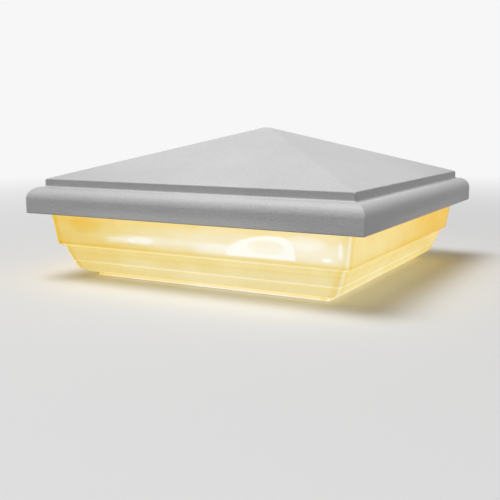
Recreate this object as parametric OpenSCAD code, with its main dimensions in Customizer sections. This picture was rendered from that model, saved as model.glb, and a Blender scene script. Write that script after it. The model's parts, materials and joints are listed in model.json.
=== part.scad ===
// Square outdoor cap light. A hollow cast roof stands on a translucent skirt (the lens), and the
// lens stands on a base plate that is screwed down. The lights and their driver sit on a core
// inside. Origin: centre of the flat end that the cap rests on. +Z is up, -Y is the front.

/* [Seat] */
// Width of the square end that the cap fits over
post_w = 101.6; // [98:0.1:105]
// Gap between that end and the lip of the lens, on each side
post_gap = 1.5; // [0.8:0.1:2]
// How far the lens hangs below the face that the cap rests on
skirt_drop = 12; // [9:0.5:14]

/* [Roof] */
// Width of the roof over its rim
cap_w = 150; // [147:0.5:158]
// Height of the roof from the bottom of its rim to its peak
roof_h = 35.5; // [33:0.5:42]
// Height of the upright face of the rim
rim_h = 5.9; // [5.2:0.1:8]
// Width of the rounded moulding above the rim
ovolo_w = 4.6; // [3.6:0.1:4.8]
// Height of the rounded moulding above the rim
ovolo_h = 5; // [4:0.1:6]
// How far the step stands in from the rim
step_in = 5.8; // [5.6:0.1:7]
// Radius in the corner between the ledge and the step
cove_r = 0.7; // [0.4:0.1:0.9]
// Height of the step
step_h = 3.4; // [2:0.1:5]
// Half width of the small flat on the peak
peak_half = 1.2; // [0.6:0.1:2.5]
// Wall of the casting
roof_wall = 2.5; // [2:0.1:3]
// Wall of the rim beside the flange of the lens
rim_wall = 3; // [2.5:0.1:3.4]

/* [Lens] */
// How far the top of the lens stands in from the rim
lens_in = 6.8; // [6.2:0.1:8]
// Wall of the lens
lens_wall = 2.2; // [1.8:0.1:2.6]
// Height of the upper band
band1_h = 13.5; // [12:0.1:16]
// How far the upper band leans in over its height
band1_lean = 1.8; // [1:0.1:2.6]
// Height of the cove under the upper band
cove_h = 2.8; // [2:0.1:3.4]
// Width of the cove under the upper band
cove_w = 2.6; // [2:0.1:3]
// Height of the lower band
band2_h = 4.7; // [4:0.1:6.5]
// How far the lower band leans in over its height
band2_lean = 1.8; // [1:0.1:2.2]
// Step under the lower band
bead_step = 0.4; // [0.2:0.1:0.8]
// Height of the rounded foot
round_h = 5.2; // [4:0.1:6]
// Ledge between the rounded foot and the lip
lip_ledge = 1.2; // [0.6:0.1:1.6]
// Height of the lip
lip_h = 1.8; // [1.4:0.1:2.4]
// Thickness of the flange inside the rim
flange_t = 2; // [1.6:0.1:2.6]
// Height of the flange above the bottom of the rim
flange_rise = 1.7; // [1.2:0.1:2.5]
// Gap between the edge of the flange and the rim
flange_gap = 0.5; // [0.3:0.1:0.8]
// Thickness of the ribs that carry the lens
rib_t = 3; // [2.4:0.1:4]
// Distance of the ribs from the middle of each side
rib_at = 30; // [26:0.5:34]

/* [Seals] */
// Thickness of the foam ring under the base plate
post_gasket_t = 1.5; // [1.5:0.1:3]
// Width of the foam ring under the base plate
post_gasket_w = 6.5; // [5:0.1:7]
// Thickness of the foam ring between the roof and the lens
roof_gasket_t = 1; // [0.8:0.1:2]
// Width of the foam ring between the roof and the lens
roof_gasket_w = 3.8; // [3:0.1:4]
// Radius of the hole for the supply lead
grommet_bore_r = 4; // [3:0.1:5]
// Wall of the grommet in its hole
grommet_wall = 3.8; // [3:0.1:4.5]
// Height of each collar of the grommet
grommet_collar_h = 1.2; // [0.9:0.1:1.4]

/* [Base plate] */
// Thickness of the base plate
plate_t = 3; // [2.5:0.1:4]
// How far the base plate stays inside the square end's edge
plate_in = 0.8; // [0.5:0.1:1.5]
// Radius of the base plate's corners
plate_r = 9; // [7:0.5:10]
// Width of the raised ring that centres the lens
ring_w = 1.5; // [1.2:0.1:2]
// Height of the raised ring
ring_h = 2; // [1.5:0.1:3]
// How far the raised ring stays inside the plate's edge
ring_in = 3.5; // [3:0.1:4.5]
// Radius of the holes for the screws that hold the cap down
post_hole_r = 2.2; // [1.8:0.1:2.6]
// How far those holes are inside the plate's edge
post_hole_in = 12; // [11:0.1:13]

/* [Light core] */
// Width of the core
core_w = 52; // [51:0.5:54]
// Height of the core
core_h = 18; // [17:0.5:19]
// Wall of the core
core_wall = 1.5; // [1.2:0.1:2]
// Length of the core's feet
foot_l = 8; // [7.5:0.1:9]
// Width of the core's feet
foot_w = 12; // [9:0.5:16]
// Length of an LED board
led_board_l = 46; // [45.5:0.5:47]
// Height of an LED board
led_board_h = 12; // [11.5:0.1:12.4]
// Thickness of an LED board
led_board_t = 1.2; // [1:0.1:1.6]
// LEDs on each board
led_count = 6; // [3:1:6]
// Gap between the last LED and the head of the screw beside it
led_gap = 1; // [0.6:0.1:3]
// Length of an LED
led_l = 3.5; // [2.8:0.1:3.8]
// Height of an LED
led_h = 2.8; // [2:0.1:3]
// Thickness of an LED
led_t = 0.8; // [0.6:0.1:1]

/* [Driver] */
// Width of the driver board
driver_w = 34; // [32:0.5:34.5]
// Length of the driver board
driver_l = 40; // [39:0.5:42]
// Thickness of the driver board
driver_t = 1.6; // [1:0.1:2]
// Height of the standoffs
standoff_h = 3; // [2.5:0.1:5]
// Outer radius of the standoffs
standoff_r = 2.5; // [2.2:0.1:2.9]
// Length of the terminal block
terminal_l = 10; // [9:0.5:11]
// Height of the terminal block
terminal_h = 9; // [8:0.5:10]
// Radius of the capacitor
capacitor_r = 4; // [3:0.1:4.2]
// Height of the capacitor
capacitor_h = 10; // [7:0.5:11]
// Length of the bridge rectifier's body
bridge_l = 4.8; // [4:0.1:5.2]
// Depth of the bridge rectifier's body
bridge_d = 6; // [5:0.1:6.2]
// Height of the bridge rectifier's body
bridge_h = 2.3; // [1.8:0.1:2.8]
// Distance between the bridge rectifier's legs
bridge_pitch = 2.8; // [2.2:0.1:3.2]
// Length of the driver chip's body
ic_l = 5; // [4.6:0.1:5.4]
// Depth of the driver chip's body
ic_d = 4; // [3.5:0.1:4.4]
// Height of the driver chip's body
ic_h = 1.5; // [1.2:0.1:2]
// Distance between the driver chip's legs
ic_pitch = 1.27; // [1:0.01:1.3]
// Width of the inductor
inductor_w = 8; // [6:0.1:8.5]
// Height of the inductor
inductor_h = 4.5; // [3:0.1:5]

/* [Wires and clips] */
// Radius of the wires over their insulation
wire_r = 0.6; // [0.5:0.05:0.7]
// Radius of the bends in the wires
bend_r = 2.5; // [2:0.1:2.8]
// Radius of a solder joint
solder_r = 1.1; // [0.9:0.05:1.2]
// Thickness of the spring strip
clip_t = 0.5; // [0.4:0.05:0.6]
// Width of the spring strip
clip_w = 10; // [8:0.5:12]
// Length of the clip's foot
clip_foot_l = 6.5; // [6.2:0.1:6.8]
// Gap between the clip and the roof's lug
clip_gap = 0.3; // [0.2:0.05:0.6]
// Thickness of the roof's lugs
lug_t = 2.5; // [2:0.1:3]

/* [Screws] */
// Radius of the larger screws
m3_r = 1.5; // [1.25:0.05:1.5]
// Radius of the smaller screws
m25_r = 1.25; // [1:0.05:1.25]
// Gap round a screw in its hole
screw_gap = 0.1; // [0.05:0.05:0.2]
// Radius of the bosses that carry the reflector
boss_r = 4; // [3:0.1:4.5]
// Thickness of the reflector
reflector_t = 1; // [0.8:0.1:1.5]
// Depth of the screw holes in the bosses
boss_hole_h = 9; // [7:0.5:10]
// How far the bosses are inside the reflector's edge
boss_in = 16; // [14:0.5:18]
// How far a screw runs out past what it holds
screw_past = 1; // [0.5:0.1:1.5]

/* [Places] */
// How far the lower foam ring stays inside the plate's edge
post_gasket_in = 0.5; // [0.3:0.1:1]
// How far the foam ring on the lens stays inside the flange's edge
roof_gasket_in = 0.2; // [0.1:0.05:0.5]
// Width of the grommet's collars beyond its neck
grommet_collar_w = 2.2; // [1.5:0.1:3]
// Gap round the neck of the grommet
grommet_gap = 0.1; // [0.05:0.05:0.2]
// Gap between the ribs of the lens and the raised ring of the plate
rib_gap = 0.3; // [0.2:0.1:0.6]
// How far the ribs stand back from the inside of the lip
rib_back = 0.2; // [0.1:0.1:0.5]
// Height of the ribs' noses over the plate
rib_nose_h = 2; // [1.5:0.1:3]
// How far the ribs rise from their noses to the wall
rib_rise = 9; // [6:0.5:9]
// Height of the LEDs over the base plate
led_rise = 8.4; // [8:0.1:9]
// How far the LED boards' screws are inside the board's ends
led_screw_in = 2.5; // [2.4:0.1:2.6]
// How far the core's screws are inside the feet's ends
foot_screw_in = 3.5; // [3:0.1:4]
// How far the wire pads are inside the long edges of an LED board
pad_in_z = 2; // [1.8:0.1:2]
// How far the wire pads are inside the ends of an LED board
pad_in_x = 1.4; // [1.2:0.1:1.6]
// Gap under the wires where they run over a board
wire_gap = 0.6; // [0.4:0.1:0.8]
// Solder over the top of a wire
solder_over = 0.2; // [0.1:0.05:0.3]
// Distance of the two feed wires from the middle
feed_at = 4; // [3:0.1:5]
// How far the feed wires' pads are inside the driver board's edge
feed_pad_in = 2.5; // [2:0.1:3]
// How far the driver board's screws are inside its edges
board_screw_in = 3; // [2.7:0.1:3.2]
// Radius of the hole for the supply lead in the driver board
lead_hole_r = 3.2; // [3:0.1:3.4]
// Edge left beside the hole for the supply lead
lead_edge = 1.6; // [1.2:0.1:2]
// Gap between the terminal block and the hole for the supply lead
terminal_gap = 0.8; // [0.5:0.1:1.2]
// Depth of the terminal block
terminal_d = 8; // [7:0.5:8.5]
// Distance between the two poles of the terminal block
terminal_pitch = 5; // [4.4:0.1:5.4]
// Radius of the screw wells of the terminal block
terminal_well_r = 1.7; // [1.5:0.1:1.9]
// Depth of the screw wells of the terminal block
terminal_well_h = 3; // [2.5:0.1:3.4]
// Radius of the lead ports of the terminal block
terminal_port_r = 1.3; // [1:0.1:1.5]
// Height of the lead ports of the terminal block
terminal_port_z = 3; // [2.6:0.1:3.2]
// How far the tall parts stay inside the driver board's sides
part_in = 1.5; // [1:0.1:1.8]
// How far the bridge rectifier is inside the driver board's side
bridge_in = 7.5; // [7:0.1:8]
// How far the clips' feet stay inside the core's edge
clip_in = 1; // [0.8:0.1:1.2]
// Inner radius of the bend in the spring strip
clip_bend_r = 1.4; // [1.2:0.1:1.6]
// Radius of the bulge that holds the roof
clip_bulge_r = 3; // [2.5:0.1:3.4]
// How far the bulge stands out past the core
clip_bulge_out = 0.45; // [0.3:0.05:0.6]
// Height of the bulge over the core
clip_bulge_z = 8.5; // [8:0.1:10]
// Length of the clip's tip over the bulge
clip_tip_l = 2.2; // [1.6:0.1:2.6]
// Distance of the clip's screw from the end of its foot
clip_screw_in = 3; // [2.8:0.1:3.2]
// Height of the lower edge of the lugs over the core
lug_rise = 3.5; // [3:0.1:5]
// How much the lugs are wider than the clips, on each side
lug_side = 1; // [0.5:0.1:2]
// Gap between the reflector and the inside of the lens
reflector_gap = 1; // [0.6:0.1:1.5]
// Gap between the reflector and the wires on the core
reflector_clear = 1; // [0.6:0.1:2]
// How far the bosses stop over the foot of the roof's hollow
boss_rise = 0.5; // [0.2:0.1:1]

/* [Hidden] */
$fn = 48;
// faces round a wire
wire_faces = 24;

// how far a cutting shape runs past what it cuts
cut = 1;
// half length of the bars that are crossed to make a square moulding
reach = cap_w;

// the screws: their heads are in proportion to their shanks, their holes have a gap
m3_head_r = m3_r * 1.8;
m3_head_h = m3_r * 1.3;
m25_head_r = m25_r * 1.8;
m25_head_h = m25_r * 1.1;
m3_hole_r = m3_r + screw_gap;
m25_hole_r = m25_r + screw_gap;
m3_tip_back = 0.3;

// half widths of the lens, from its lip to its top
lip_in = post_w / 2 + post_gap;
lip_out = lip_in + lens_wall;
foot_in = lip_out + lip_ledge;
lens_top = cap_w / 2 - lens_in;
band1_low = lens_top - band1_lean;
band2_top = band1_low - cove_w;
band2_low = band2_top - band2_lean;
foot_out = band2_low - bead_step;

// where the curves of the foot and of the cove begin
foot_low_angle = -78;
cove_low_angle = 168;

// heights, from the bottom of the lens to the peak of the roof
z_lens = -skirt_drop;
z_foot = z_lens + lip_h;
z_bead = z_foot + round_h;
z_cove = z_bead + band2_h;
z_band1 = z_cove + cove_h;
z_rim = z_band1 + band1_h;
z_flange = z_rim + flange_rise;
z_lens_top = z_flange + flange_t;
z_shoulder = z_lens_top + roof_gasket_t;
z_ledge = z_rim + rim_h + ovolo_h;
z_eaves = z_ledge + step_h;
z_peak = z_rim + roof_h;

// heights of the base and of what stands on it
z_plate = post_gasket_t;
z_seat = z_plate + plate_t;
z_core = z_seat + core_h;
z_board = z_core + standoff_h;
z_parts = z_board + driver_t;

// the roof
rim_half = cap_w / 2;
step_half = rim_half - step_in;
recess_half = rim_half - rim_wall;
roof_slope = (z_peak - z_eaves) / (step_half - peak_half);

// the flange of the lens and the foam ring on it
flange_half = recess_half - flange_gap;
roof_gasket_half = flange_half - roof_gasket_in;

// the base plate
plate_half = post_w / 2 - plate_in;
ring_half = plate_half - ring_in;
ring_r = plate_r - ring_in;
post_hole_at = plate_half - post_hole_in;
post_gasket_half = plate_half - post_gasket_in;
post_gasket_r = plate_r - post_gasket_in;
grommet_r = grommet_bore_r + grommet_wall;
grommet_hole_r = grommet_r + grommet_gap;
collar_r = grommet_r + grommet_collar_w;

// the ribs of the lens stand on the plate, round its raised ring
rib_tip = ring_half + rib_gap;
rib_in = lip_in + rib_back;

// the core and its boards
core_half = core_w / 2;
led_face = core_half + led_board_t;
led_z = z_seat + led_rise;
led_screw_at = led_board_l / 2 - led_screw_in;
led_span = 2 * (led_screw_at - m25_head_r - led_gap) - led_l;
led_pitch = led_span / (led_count - 1);
foot_screw_at = core_half + foot_l - foot_screw_in;
pad_z = led_board_h / 2 - pad_in_z;
pad_at = led_board_l / 2 - pad_in_x;
wire_lift = wire_r + wire_gap;
wire_line = led_face + wire_lift;
solder_h = wire_lift + wire_r + solder_over;

// the driver board, with a hole for the supply lead beside its terminal block
driver_half_w = driver_w / 2;
driver_half_l = driver_l / 2;
board_screw_x = driver_half_w - board_screw_in;
board_screw_y = driver_half_l - board_screw_in;
lead_hole_y = driver_half_l - lead_hole_r - lead_edge;
terminal_y = lead_hole_y - lead_hole_r - terminal_gap - terminal_d / 2;

// the spring clips
clip_end = core_half - clip_in;
clip_start = clip_end - clip_foot_l;
clip_bulge_x = core_half + clip_bulge_out;
clip_low_angle = -35;
clip_high_angle = 50;
clip_screw_at = clip_start + clip_screw_in;
lug_in = clip_bulge_x + clip_t / 2 + clip_gap;
lug_half_w = clip_w / 2 + lug_side;
z_lug = z_core + lug_rise;

// the reflector lies under the bosses and round the core
reflector_half = lens_top - lens_wall - reflector_gap;
reflector_open = wire_line + wire_r + reflector_clear;
z_boss = z_shoulder + boss_rise;
boss_at = reflector_half - boss_in;
reflector_screw_l = reflector_t + boss_hole_h - screw_past;

roof_grey = [0.76, 0.76, 0.77];
lens_amber = [0.97, 0.86, 0.55, 0.75];
foam_black = [0.13, 0.13, 0.13];
bare_metal = [0.75, 0.76, 0.78];
board_white = [0.93, 0.93, 0.91];
board_green = [0.10, 0.38, 0.22];
steel = [0.62, 0.63, 0.65];
spring_steel = [0.50, 0.52, 0.56];
chip_black = [0.10, 0.10, 0.11];
led_yellow = [0.98, 0.90, 0.50];
wire_red = [0.75, 0.10, 0.08];
wire_black = [0.08, 0.08, 0.08];
terminal_green = [0.12, 0.50, 0.26];
can_silver = [0.70, 0.72, 0.76];
ferrite_grey = [0.26, 0.26, 0.28];

// ---- helpers ----

// points along part of an ellipse, from angle a0 to angle a1
function arc(cx, cz, rx, rz, a0, a1, steps = 8) =
  [for (i = [0:steps]) let (a = a0 + (a1 - a0) * i / steps) [cx + rx * cos(a), cz + rz * sin(a)]];

// the mirror image of an outline's side, from its last point back to its first
function other_side(side) =
  [for (i = [len(side) - 1:-1:0]) [-side[i][0], side[i][1]]];

// height of the roof's top, less a thickness, at a distance from the middle
function under_roof(half, thick) = z_eaves + (step_half - half) * roof_slope - thick;

// a line shifted sideways by d, for the two faces of a bent strip
function shifted(line, d) = [
  for (i = [0:len(line) - 1])
    let (
      a = line[max(i - 1, 0)],
      b = line[min(i + 1, len(line) - 1)],
      run = norm(b - a)
    )
    line[i] + d * [a[1] - b[1], b[0] - a[0]] / run
];

// a square body whose side view, from the middle outwards, is the same on all four sides:
// two bars with that outline cross, and their common part has true mitred corners
module square_moulding(side) {
  intersection() {
    rotate([90, 0, 0])
      linear_extrude(2 * reach, center = true) polygon(concat(side, other_side(side)));
    rotate([90, 0, 90])
      linear_extrude(2 * reach, center = true) polygon(concat(side, other_side(side)));
  }
}

// a flat square sheet from z0 upwards
module square_sheet(half, z0, thick) {
  translate([0, 0, z0])
    linear_extrude(thick) square(2 * half, center = true);
}

// a square with round corners
module rounded_square(half, r) {
  square([2 * half, 2 * (half - r)], center = true);
  square([2 * (half - r), 2 * half], center = true);
  for (sx = [-1, 1], sy = [-1, 1])
    translate([sx * (half - r), sy * (half - r)]) circle(r);
}

// copies at the corners of a rectangle
module at_corners(x, y) {
  for (sx = [-1, 1], sy = [-1, 1])
    translate([sx * x, sy * y, 0]) children();
}

// copies turned to all four sides
module on_sides() {
  for (side = [0:3])
    rotate([0, 0, 90 * side]) children();
}

// a pan head screw, its head standing on z = 0 and its shank below
module screw(r, head_r, head_h, length) {
  slot_w = head_r / 4;
  difference() {
    rotate_extrude()
      polygon(concat(
        [[0, -length], [r * 0.6, -length], [r, -length + r * 0.6], [r, 0], [head_r, 0]],
        arc(head_r * 0.6, head_h * 0.4, head_r * 0.4, head_h * 0.6, 0, 90, 5),
        [[0, head_h]]
      ));
    for (turn = [0, 90])
      rotate([0, 0, turn])
        translate([-head_r * 0.55, -slot_w / 2, head_h * 0.5])
          cube([head_r * 1.1, slot_w, head_h]);
  }
}

module m3_screw(length) {
  screw(m3_r, m3_head_r, m3_head_h, length);
}

module m25_screw(length) {
  screw(m25_r, m25_head_r, m25_head_h, length);
}

// ---- base ----

module post_gasket() {
  color(foam_black)
    linear_extrude(post_gasket_t)
      difference() {
        rounded_square(post_gasket_half, post_gasket_r);
        rounded_square(post_gasket_half - post_gasket_w, post_gasket_r - post_gasket_w / 2);
      }
}

module base_plate() {
  color(bare_metal)
    difference() {
      union() {
        translate([0, 0, z_plate])
          linear_extrude(plate_t) rounded_square(plate_half, plate_r);
        translate([0, 0, z_seat])
          linear_extrude(ring_h)
            difference() {
              rounded_square(ring_half, ring_r);
              rounded_square(ring_half - ring_w, ring_r - ring_w);
            }
      }
      at_corners(post_hole_at, post_hole_at) plate_hole(post_hole_r);
      on_sides() translate([0, -foot_screw_at, 0]) plate_hole(m3_hole_r);
      plate_hole(grommet_hole_r);
    }
}

module plate_hole(r) {
  translate([0, 0, z_plate - cut]) cylinder(h = plate_t + 2 * cut, r = r);
}

module cable_grommet() {
  low = z_plate - grommet_collar_h;
  high = z_seat + grommet_collar_h;
  taper = 0.8;
  color(foam_black)
    rotate_extrude()
      polygon([
        [grommet_bore_r, low], [collar_r, low], [collar_r, z_plate], [grommet_r, z_plate],
        [grommet_r, z_seat], [collar_r, z_seat], [collar_r - taper, high], [grommet_bore_r, high]
      ]);
}

module light_core() {
  color(bare_metal)
    difference() {
      union() {
        square_sheet(core_half, z_seat, core_h);
        on_sides()
          translate([-foot_w / 2, -core_half - foot_l, z_seat])
            cube([foot_w, foot_l + core_wall / 2, core_wall]);
      }
      square_sheet(core_half - core_wall, z_seat - cut, core_h - core_wall + cut);
      on_sides() {
        translate([0, -foot_screw_at, z_seat - cut])
          cylinder(h = core_wall + 2 * cut, r = m3_hole_r);
        led_screw_holes(core_half - core_wall - cut, core_wall + 2 * cut);
      }
      at_corners(board_screw_x, board_screw_y) top_hole(m25_hole_r);
      for (s = [-1, 1])
        translate([s * clip_screw_at, 0, 0]) top_hole(m25_hole_r);
      translate([0, lead_hole_y, 0]) top_hole(lead_hole_r);
    }
}

module top_hole(r) {
  translate([0, 0, z_core - core_wall - cut]) cylinder(h = core_wall + 2 * cut, r = r);
}

// holes through the front side, from a distance outwards
module led_screw_holes(from, depth) {
  for (s = [-1, 1])
    translate([s * led_screw_at, -from, led_z])
      rotate([90, 0, 0]) cylinder(h = depth, r = m25_hole_r);
}

module core_screws() {
  color(steel)
    on_sides()
      translate([0, -foot_screw_at, z_seat + core_wall])
        m3_screw(core_wall + plate_t - m3_tip_back);
}

module led_board(side) {
  color(board_white)
    rotate([0, 0, 90 * side])
      difference() {
        translate([-led_board_l / 2, -led_face, led_z - led_board_h / 2])
          cube([led_board_l, led_board_t, led_board_h]);
        led_screw_holes(core_half - cut, led_board_t + 2 * cut);
      }
}

module leds(side) {
  color(led_yellow)
    rotate([0, 0, 90 * side])
      for (i = [0:led_count - 1])
        translate([(i - (led_count - 1) / 2) * led_pitch, -led_face, led_z]) led();
}

// one LED on the front side: its body with a shallow round well for the phosphor
module led() {
  well_floor = led_t * 0.8;
  well_r = led_h * 0.4;
  difference() {
    translate([-led_l / 2, -led_t, -led_h / 2]) cube([led_l, led_t, led_h]);
    translate([0, -well_floor, 0]) rotate([90, 0, 0]) cylinder(h = led_t, r = well_r);
  }
}

module led_board_screws() {
  color(steel)
    on_sides()
      for (s = [-1, 1])
        translate([s * led_screw_at, -led_face, led_z])
          rotate([90, 0, 0]) m25_screw(led_board_t + core_wall + screw_past);
}

// a solder joint on the front LED board
module side_solder(x, z) {
  translate([x, -led_face, z]) rotate([90, 0, 0]) cylinder(h = solder_h, r = solder_r);
}

// a quarter bend of wire from the +X side to the +Y side
module wire_bend() {
  rotate_extrude(angle = 90) translate([bend_r, 0]) circle(wire_r, $fn = wire_faces);
}

// three wires that join the four boards, on a line above or below the LEDs
module jumper_wires(z) {
  turn_at = wire_line - bend_r;
  for (k = [0:2])
    rotate([0, 0, 90 * k]) {
      side_solder(pad_at, z);
      translate([pad_at, -wire_line, z])
        rotate([0, 90, 0]) cylinder(h = turn_at - pad_at, r = wire_r, $fn = wire_faces);
      translate([turn_at, -turn_at, z]) rotate([0, 0, -90]) wire_bend();
      translate([wire_line, -turn_at, z])
        rotate([-90, 0, 0]) cylinder(h = turn_at - pad_at, r = wire_r, $fn = wire_faces);
      rotate([0, 0, 90]) side_solder(-pad_at, z);
    }
}

module jumper_wires_plus() {
  color(wire_red) jumper_wires(led_z + pad_z);
}

module jumper_wires_minus() {
  color(wire_black) jumper_wires(led_z - pad_z);
}

// ---- driver ----

module driver_board() {
  color(board_green)
    difference() {
      translate([-driver_half_w, -driver_half_l, z_board]) cube([driver_w, driver_l, driver_t]);
      at_corners(board_screw_x, board_screw_y) board_hole(m25_hole_r);
      translate([0, lead_hole_y, 0]) board_hole(lead_hole_r);
    }
}

module board_hole(r) {
  translate([0, 0, z_board - cut]) cylinder(h = driver_t + 2 * cut, r = r);
}

module driver_standoffs() {
  color(bare_metal)
    at_corners(board_screw_x, board_screw_y)
      translate([0, 0, z_core])
        difference() {
          cylinder(h = standoff_h, r = standoff_r);
          translate([0, 0, -cut]) cylinder(h = standoff_h + 2 * cut, r = m25_hole_r);
        }
}

module driver_screws() {
  color(steel)
    at_corners(board_screw_x, board_screw_y)
      translate([0, 0, z_parts])
        m25_screw(driver_t + standoff_h + core_wall + screw_past);
}

module terminal_block() {
  color(terminal_green)
    difference() {
      translate([-terminal_l / 2, terminal_y - terminal_d / 2, z_parts])
        cube([terminal_l, terminal_d, terminal_h]);
      for (s = [-1, 1]) {
        translate([s * terminal_pitch / 2, terminal_y, z_parts + terminal_h - terminal_well_h])
          cylinder(h = terminal_well_h + cut, r = terminal_well_r);
        translate([s * terminal_pitch / 2, terminal_y, z_parts + terminal_port_z])
          rotate([-90, 0, 0]) cylinder(h = terminal_d, r = terminal_port_r);
      }
    }
}

module terminal_screws() {
  head_gap = 0.2;
  head_r = terminal_well_r - head_gap;
  head_h = terminal_well_h / 2;
  groove_w = 0.5;
  color(steel)
    for (s = [-1, 1])
      translate([s * terminal_pitch / 2, terminal_y, z_parts + terminal_h - terminal_well_h])
        difference() {
          cylinder(h = head_h, r = head_r);
          translate([-head_r - cut, -groove_w / 2, head_h / 2])
            cube([2 * (head_r + cut), groove_w, head_h]);
        }
}

module capacitor() {
  x = -driver_half_w + capacitor_r + part_in;
  edge = 0.4;
  groove_low = 1;
  groove_high = 2;
  color(can_silver)
    translate([x, -0.5, z_parts])
      rotate_extrude()
        polygon([
          [0, 0], [capacitor_r, 0], [capacitor_r, groove_low],
          [capacitor_r - edge, (groove_low + groove_high) / 2],
          [capacitor_r, groove_high], [capacitor_r, capacitor_h - edge],
          [capacitor_r - edge, capacitor_h], [0, capacitor_h]
        ]);
}

module inductor() {
  x = driver_half_w - inductor_w / 2 - part_in;
  corner = inductor_w / 5;
  half = inductor_w / 2;
  dish_h = 0.6;
  dish_r = inductor_w * 0.32;
  color(ferrite_grey)
    translate([x, -1, z_parts])
      difference() {
        linear_extrude(inductor_h)
          polygon([
            [-half, -half + corner], [-half + corner, -half], [half - corner, -half],
            [half, -half + corner], [half, half - corner], [half - corner, half],
            [-half + corner, half], [-half, half - corner]
          ]);
        translate([0, 0, inductor_h - dish_h]) cylinder(h = dish_h + cut, r = dish_r);
      }
}

// a moulded chip with a row of bent legs on its two long sides
module chip(length, depth, height, legs, pitch) {
  body_z = 0.2;
  leg_w = 0.5;
  leg_t = 0.2;
  leg_out = 1;
  leg_root = 0.1;
  translate([-length / 2, -depth / 2, body_z]) cube([length, depth, height]);
  for (turn = [0, 180], i = [0:legs - 1])
    rotate([0, 0, turn])
      translate([(i - (legs - 1) / 2) * pitch - leg_w / 2, depth / 2 - leg_root, 0]) {
        translate([0, 0, height / 2]) cube([leg_w, leg_out * 0.6, leg_t]);
        translate([0, leg_out * 0.5, 0]) cube([leg_w, leg_t, height / 2 + leg_t]);
        translate([0, leg_out * 0.5, 0]) cube([leg_w, leg_out * 0.7, leg_t]);
      }
}

module bridge_rectifier() {
  color(chip_black)
    translate([-driver_half_w + bridge_in, -driver_half_l / 2 - 0.5, z_parts])
      rotate([0, 0, 90]) chip(bridge_l, bridge_d, bridge_h, 2, bridge_pitch);
}

module driver_ic() {
  x = 2.5;
  y = -driver_half_l / 2 + 1.5;
  color(chip_black)
    translate([x, y, z_parts]) chip(ic_l, ic_d, ic_h, 4, ic_pitch);
}

// a lead from the driver board over the edge of the core to the front LED board
module feed_wire(x) {
  top_z = z_parts + wire_lift;
  start_y = -driver_half_l + feed_pad_in;
  turn_y = -wire_line + bend_r;
  pad = led_z + pad_z;
  translate([x, start_y, z_parts]) cylinder(h = solder_h, r = solder_r);
  translate([x, start_y, top_z])
    rotate([90, 0, 0]) cylinder(h = start_y - turn_y, r = wire_r, $fn = wire_faces);
  translate([x, turn_y, top_z - bend_r]) rotate([90, 0, -90]) wire_bend();
  translate([x, -wire_line, pad]) cylinder(h = top_z - bend_r - pad, r = wire_r, $fn = wire_faces);
  side_solder(x, pad);
}

module feed_wire_plus() {
  color(wire_red) feed_wire(-feed_at);
}

module feed_wire_minus() {
  color(wire_black) feed_wire(feed_at);
}

// ---- clips ----

// the middle line of the clip's strip, side view, on the core's top
function clip_line() = concat(
  [[clip_start, clip_t / 2]],
  arc(clip_end - clip_bend_r, clip_t / 2 + clip_bend_r, clip_bend_r, clip_bend_r, -90, 0, 4),
  clip_bulge(),
  [clip_bulge()[6] + clip_tip_l * [-sin(clip_high_angle), cos(clip_high_angle)]]
);

// the round bulge of that line, in six steps
function clip_bulge() = arc(
  clip_bulge_x - clip_bulge_r, clip_bulge_z, clip_bulge_r, clip_bulge_r,
  clip_low_angle, clip_high_angle, 6
);

module roof_clip(side) {
  line = clip_line();
  inner = shifted(line, clip_t / 2);
  outer = shifted(line, -clip_t / 2);
  color(spring_steel)
    rotate([0, 0, side > 0 ? 0 : 180])
      translate([0, 0, z_core])
        difference() {
          rotate([90, 0, 0])
            linear_extrude(clip_w, center = true)
              polygon(concat(outer, [for (i = [len(inner) - 1:-1:0]) inner[i]]));
          translate([clip_screw_at, 0, -cut]) cylinder(h = clip_t + 2 * cut, r = m25_hole_r);
        }
}

module clip_screws() {
  color(steel)
    for (s = [-1, 1])
      translate([s * clip_screw_at, 0, z_core + clip_t])
        m25_screw(clip_t + core_wall + screw_past);
}

// ---- lens ----

// one side of the lens from its lip to its top, taken in by a thickness
function lens_side(t) = concat(
  t > 0
    ? [[lip_out - t, z_lens - cut], [lip_out - t, z_foot + t], [foot_in, z_foot + t]]
    : [[lip_out, z_lens], [lip_out, z_foot], [foot_in, z_foot]],
  arc(foot_in, z_bead, foot_out - foot_in - t, round_h - t, foot_low_angle, 0, 7),
  t > 0
    ? [[band2_low - t, z_bead + t / 2], [band2_top - t, z_cove + t * 0.3]]
    : concat(
        [[band2_low, z_bead], [band2_top, z_cove]],
        arc(band1_low, z_cove, cove_w, cove_h, cove_low_angle, 90, 6)
      ),
  [[band1_low - t, z_band1 + t * 0.8], [lens_top - t, z_rim]],
  [[lens_top - t, z_lens_top + (t > 0 ? cut : 0)]]
);

// one rib: a bracket from the wall of the lens in to the base plate
module lens_rib() {
  rotate([90, 0, 90])
    linear_extrude(rib_t, center = true)
      polygon([
        [-rib_in, z_foot], [-rib_in, z_seat], [-rib_tip, z_seat], [-rib_tip, z_seat + rib_nose_h],
        [-band1_low, z_seat + rib_nose_h + rib_rise], [-band1_low, z_foot]
      ]);
}

module lens() {
  color(lens_amber)
    union() {
      difference() {
        union() {
          square_moulding(lens_side(0));
          square_sheet(flange_half, z_flange, flange_t);
        }
        square_moulding(lens_side(lens_wall));
      }
      intersection() {
        square_moulding(lens_side(lens_wall / 2));
        on_sides()
          for (s = [-1, 1])
            translate([s * rib_at, 0, 0]) lens_rib();
      }
    }
}

// ---- roof ----

function roof_side() = concat(
  [[rim_half, z_rim]],
  arc(rim_half - ovolo_w, z_rim + rim_h, ovolo_w, ovolo_h, 0, 90),
  arc(step_half + cove_r, z_ledge + cove_r, cove_r, cove_r, 270, 180, 4),
  [[step_half, z_eaves], [peak_half, z_peak]]
);

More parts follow.
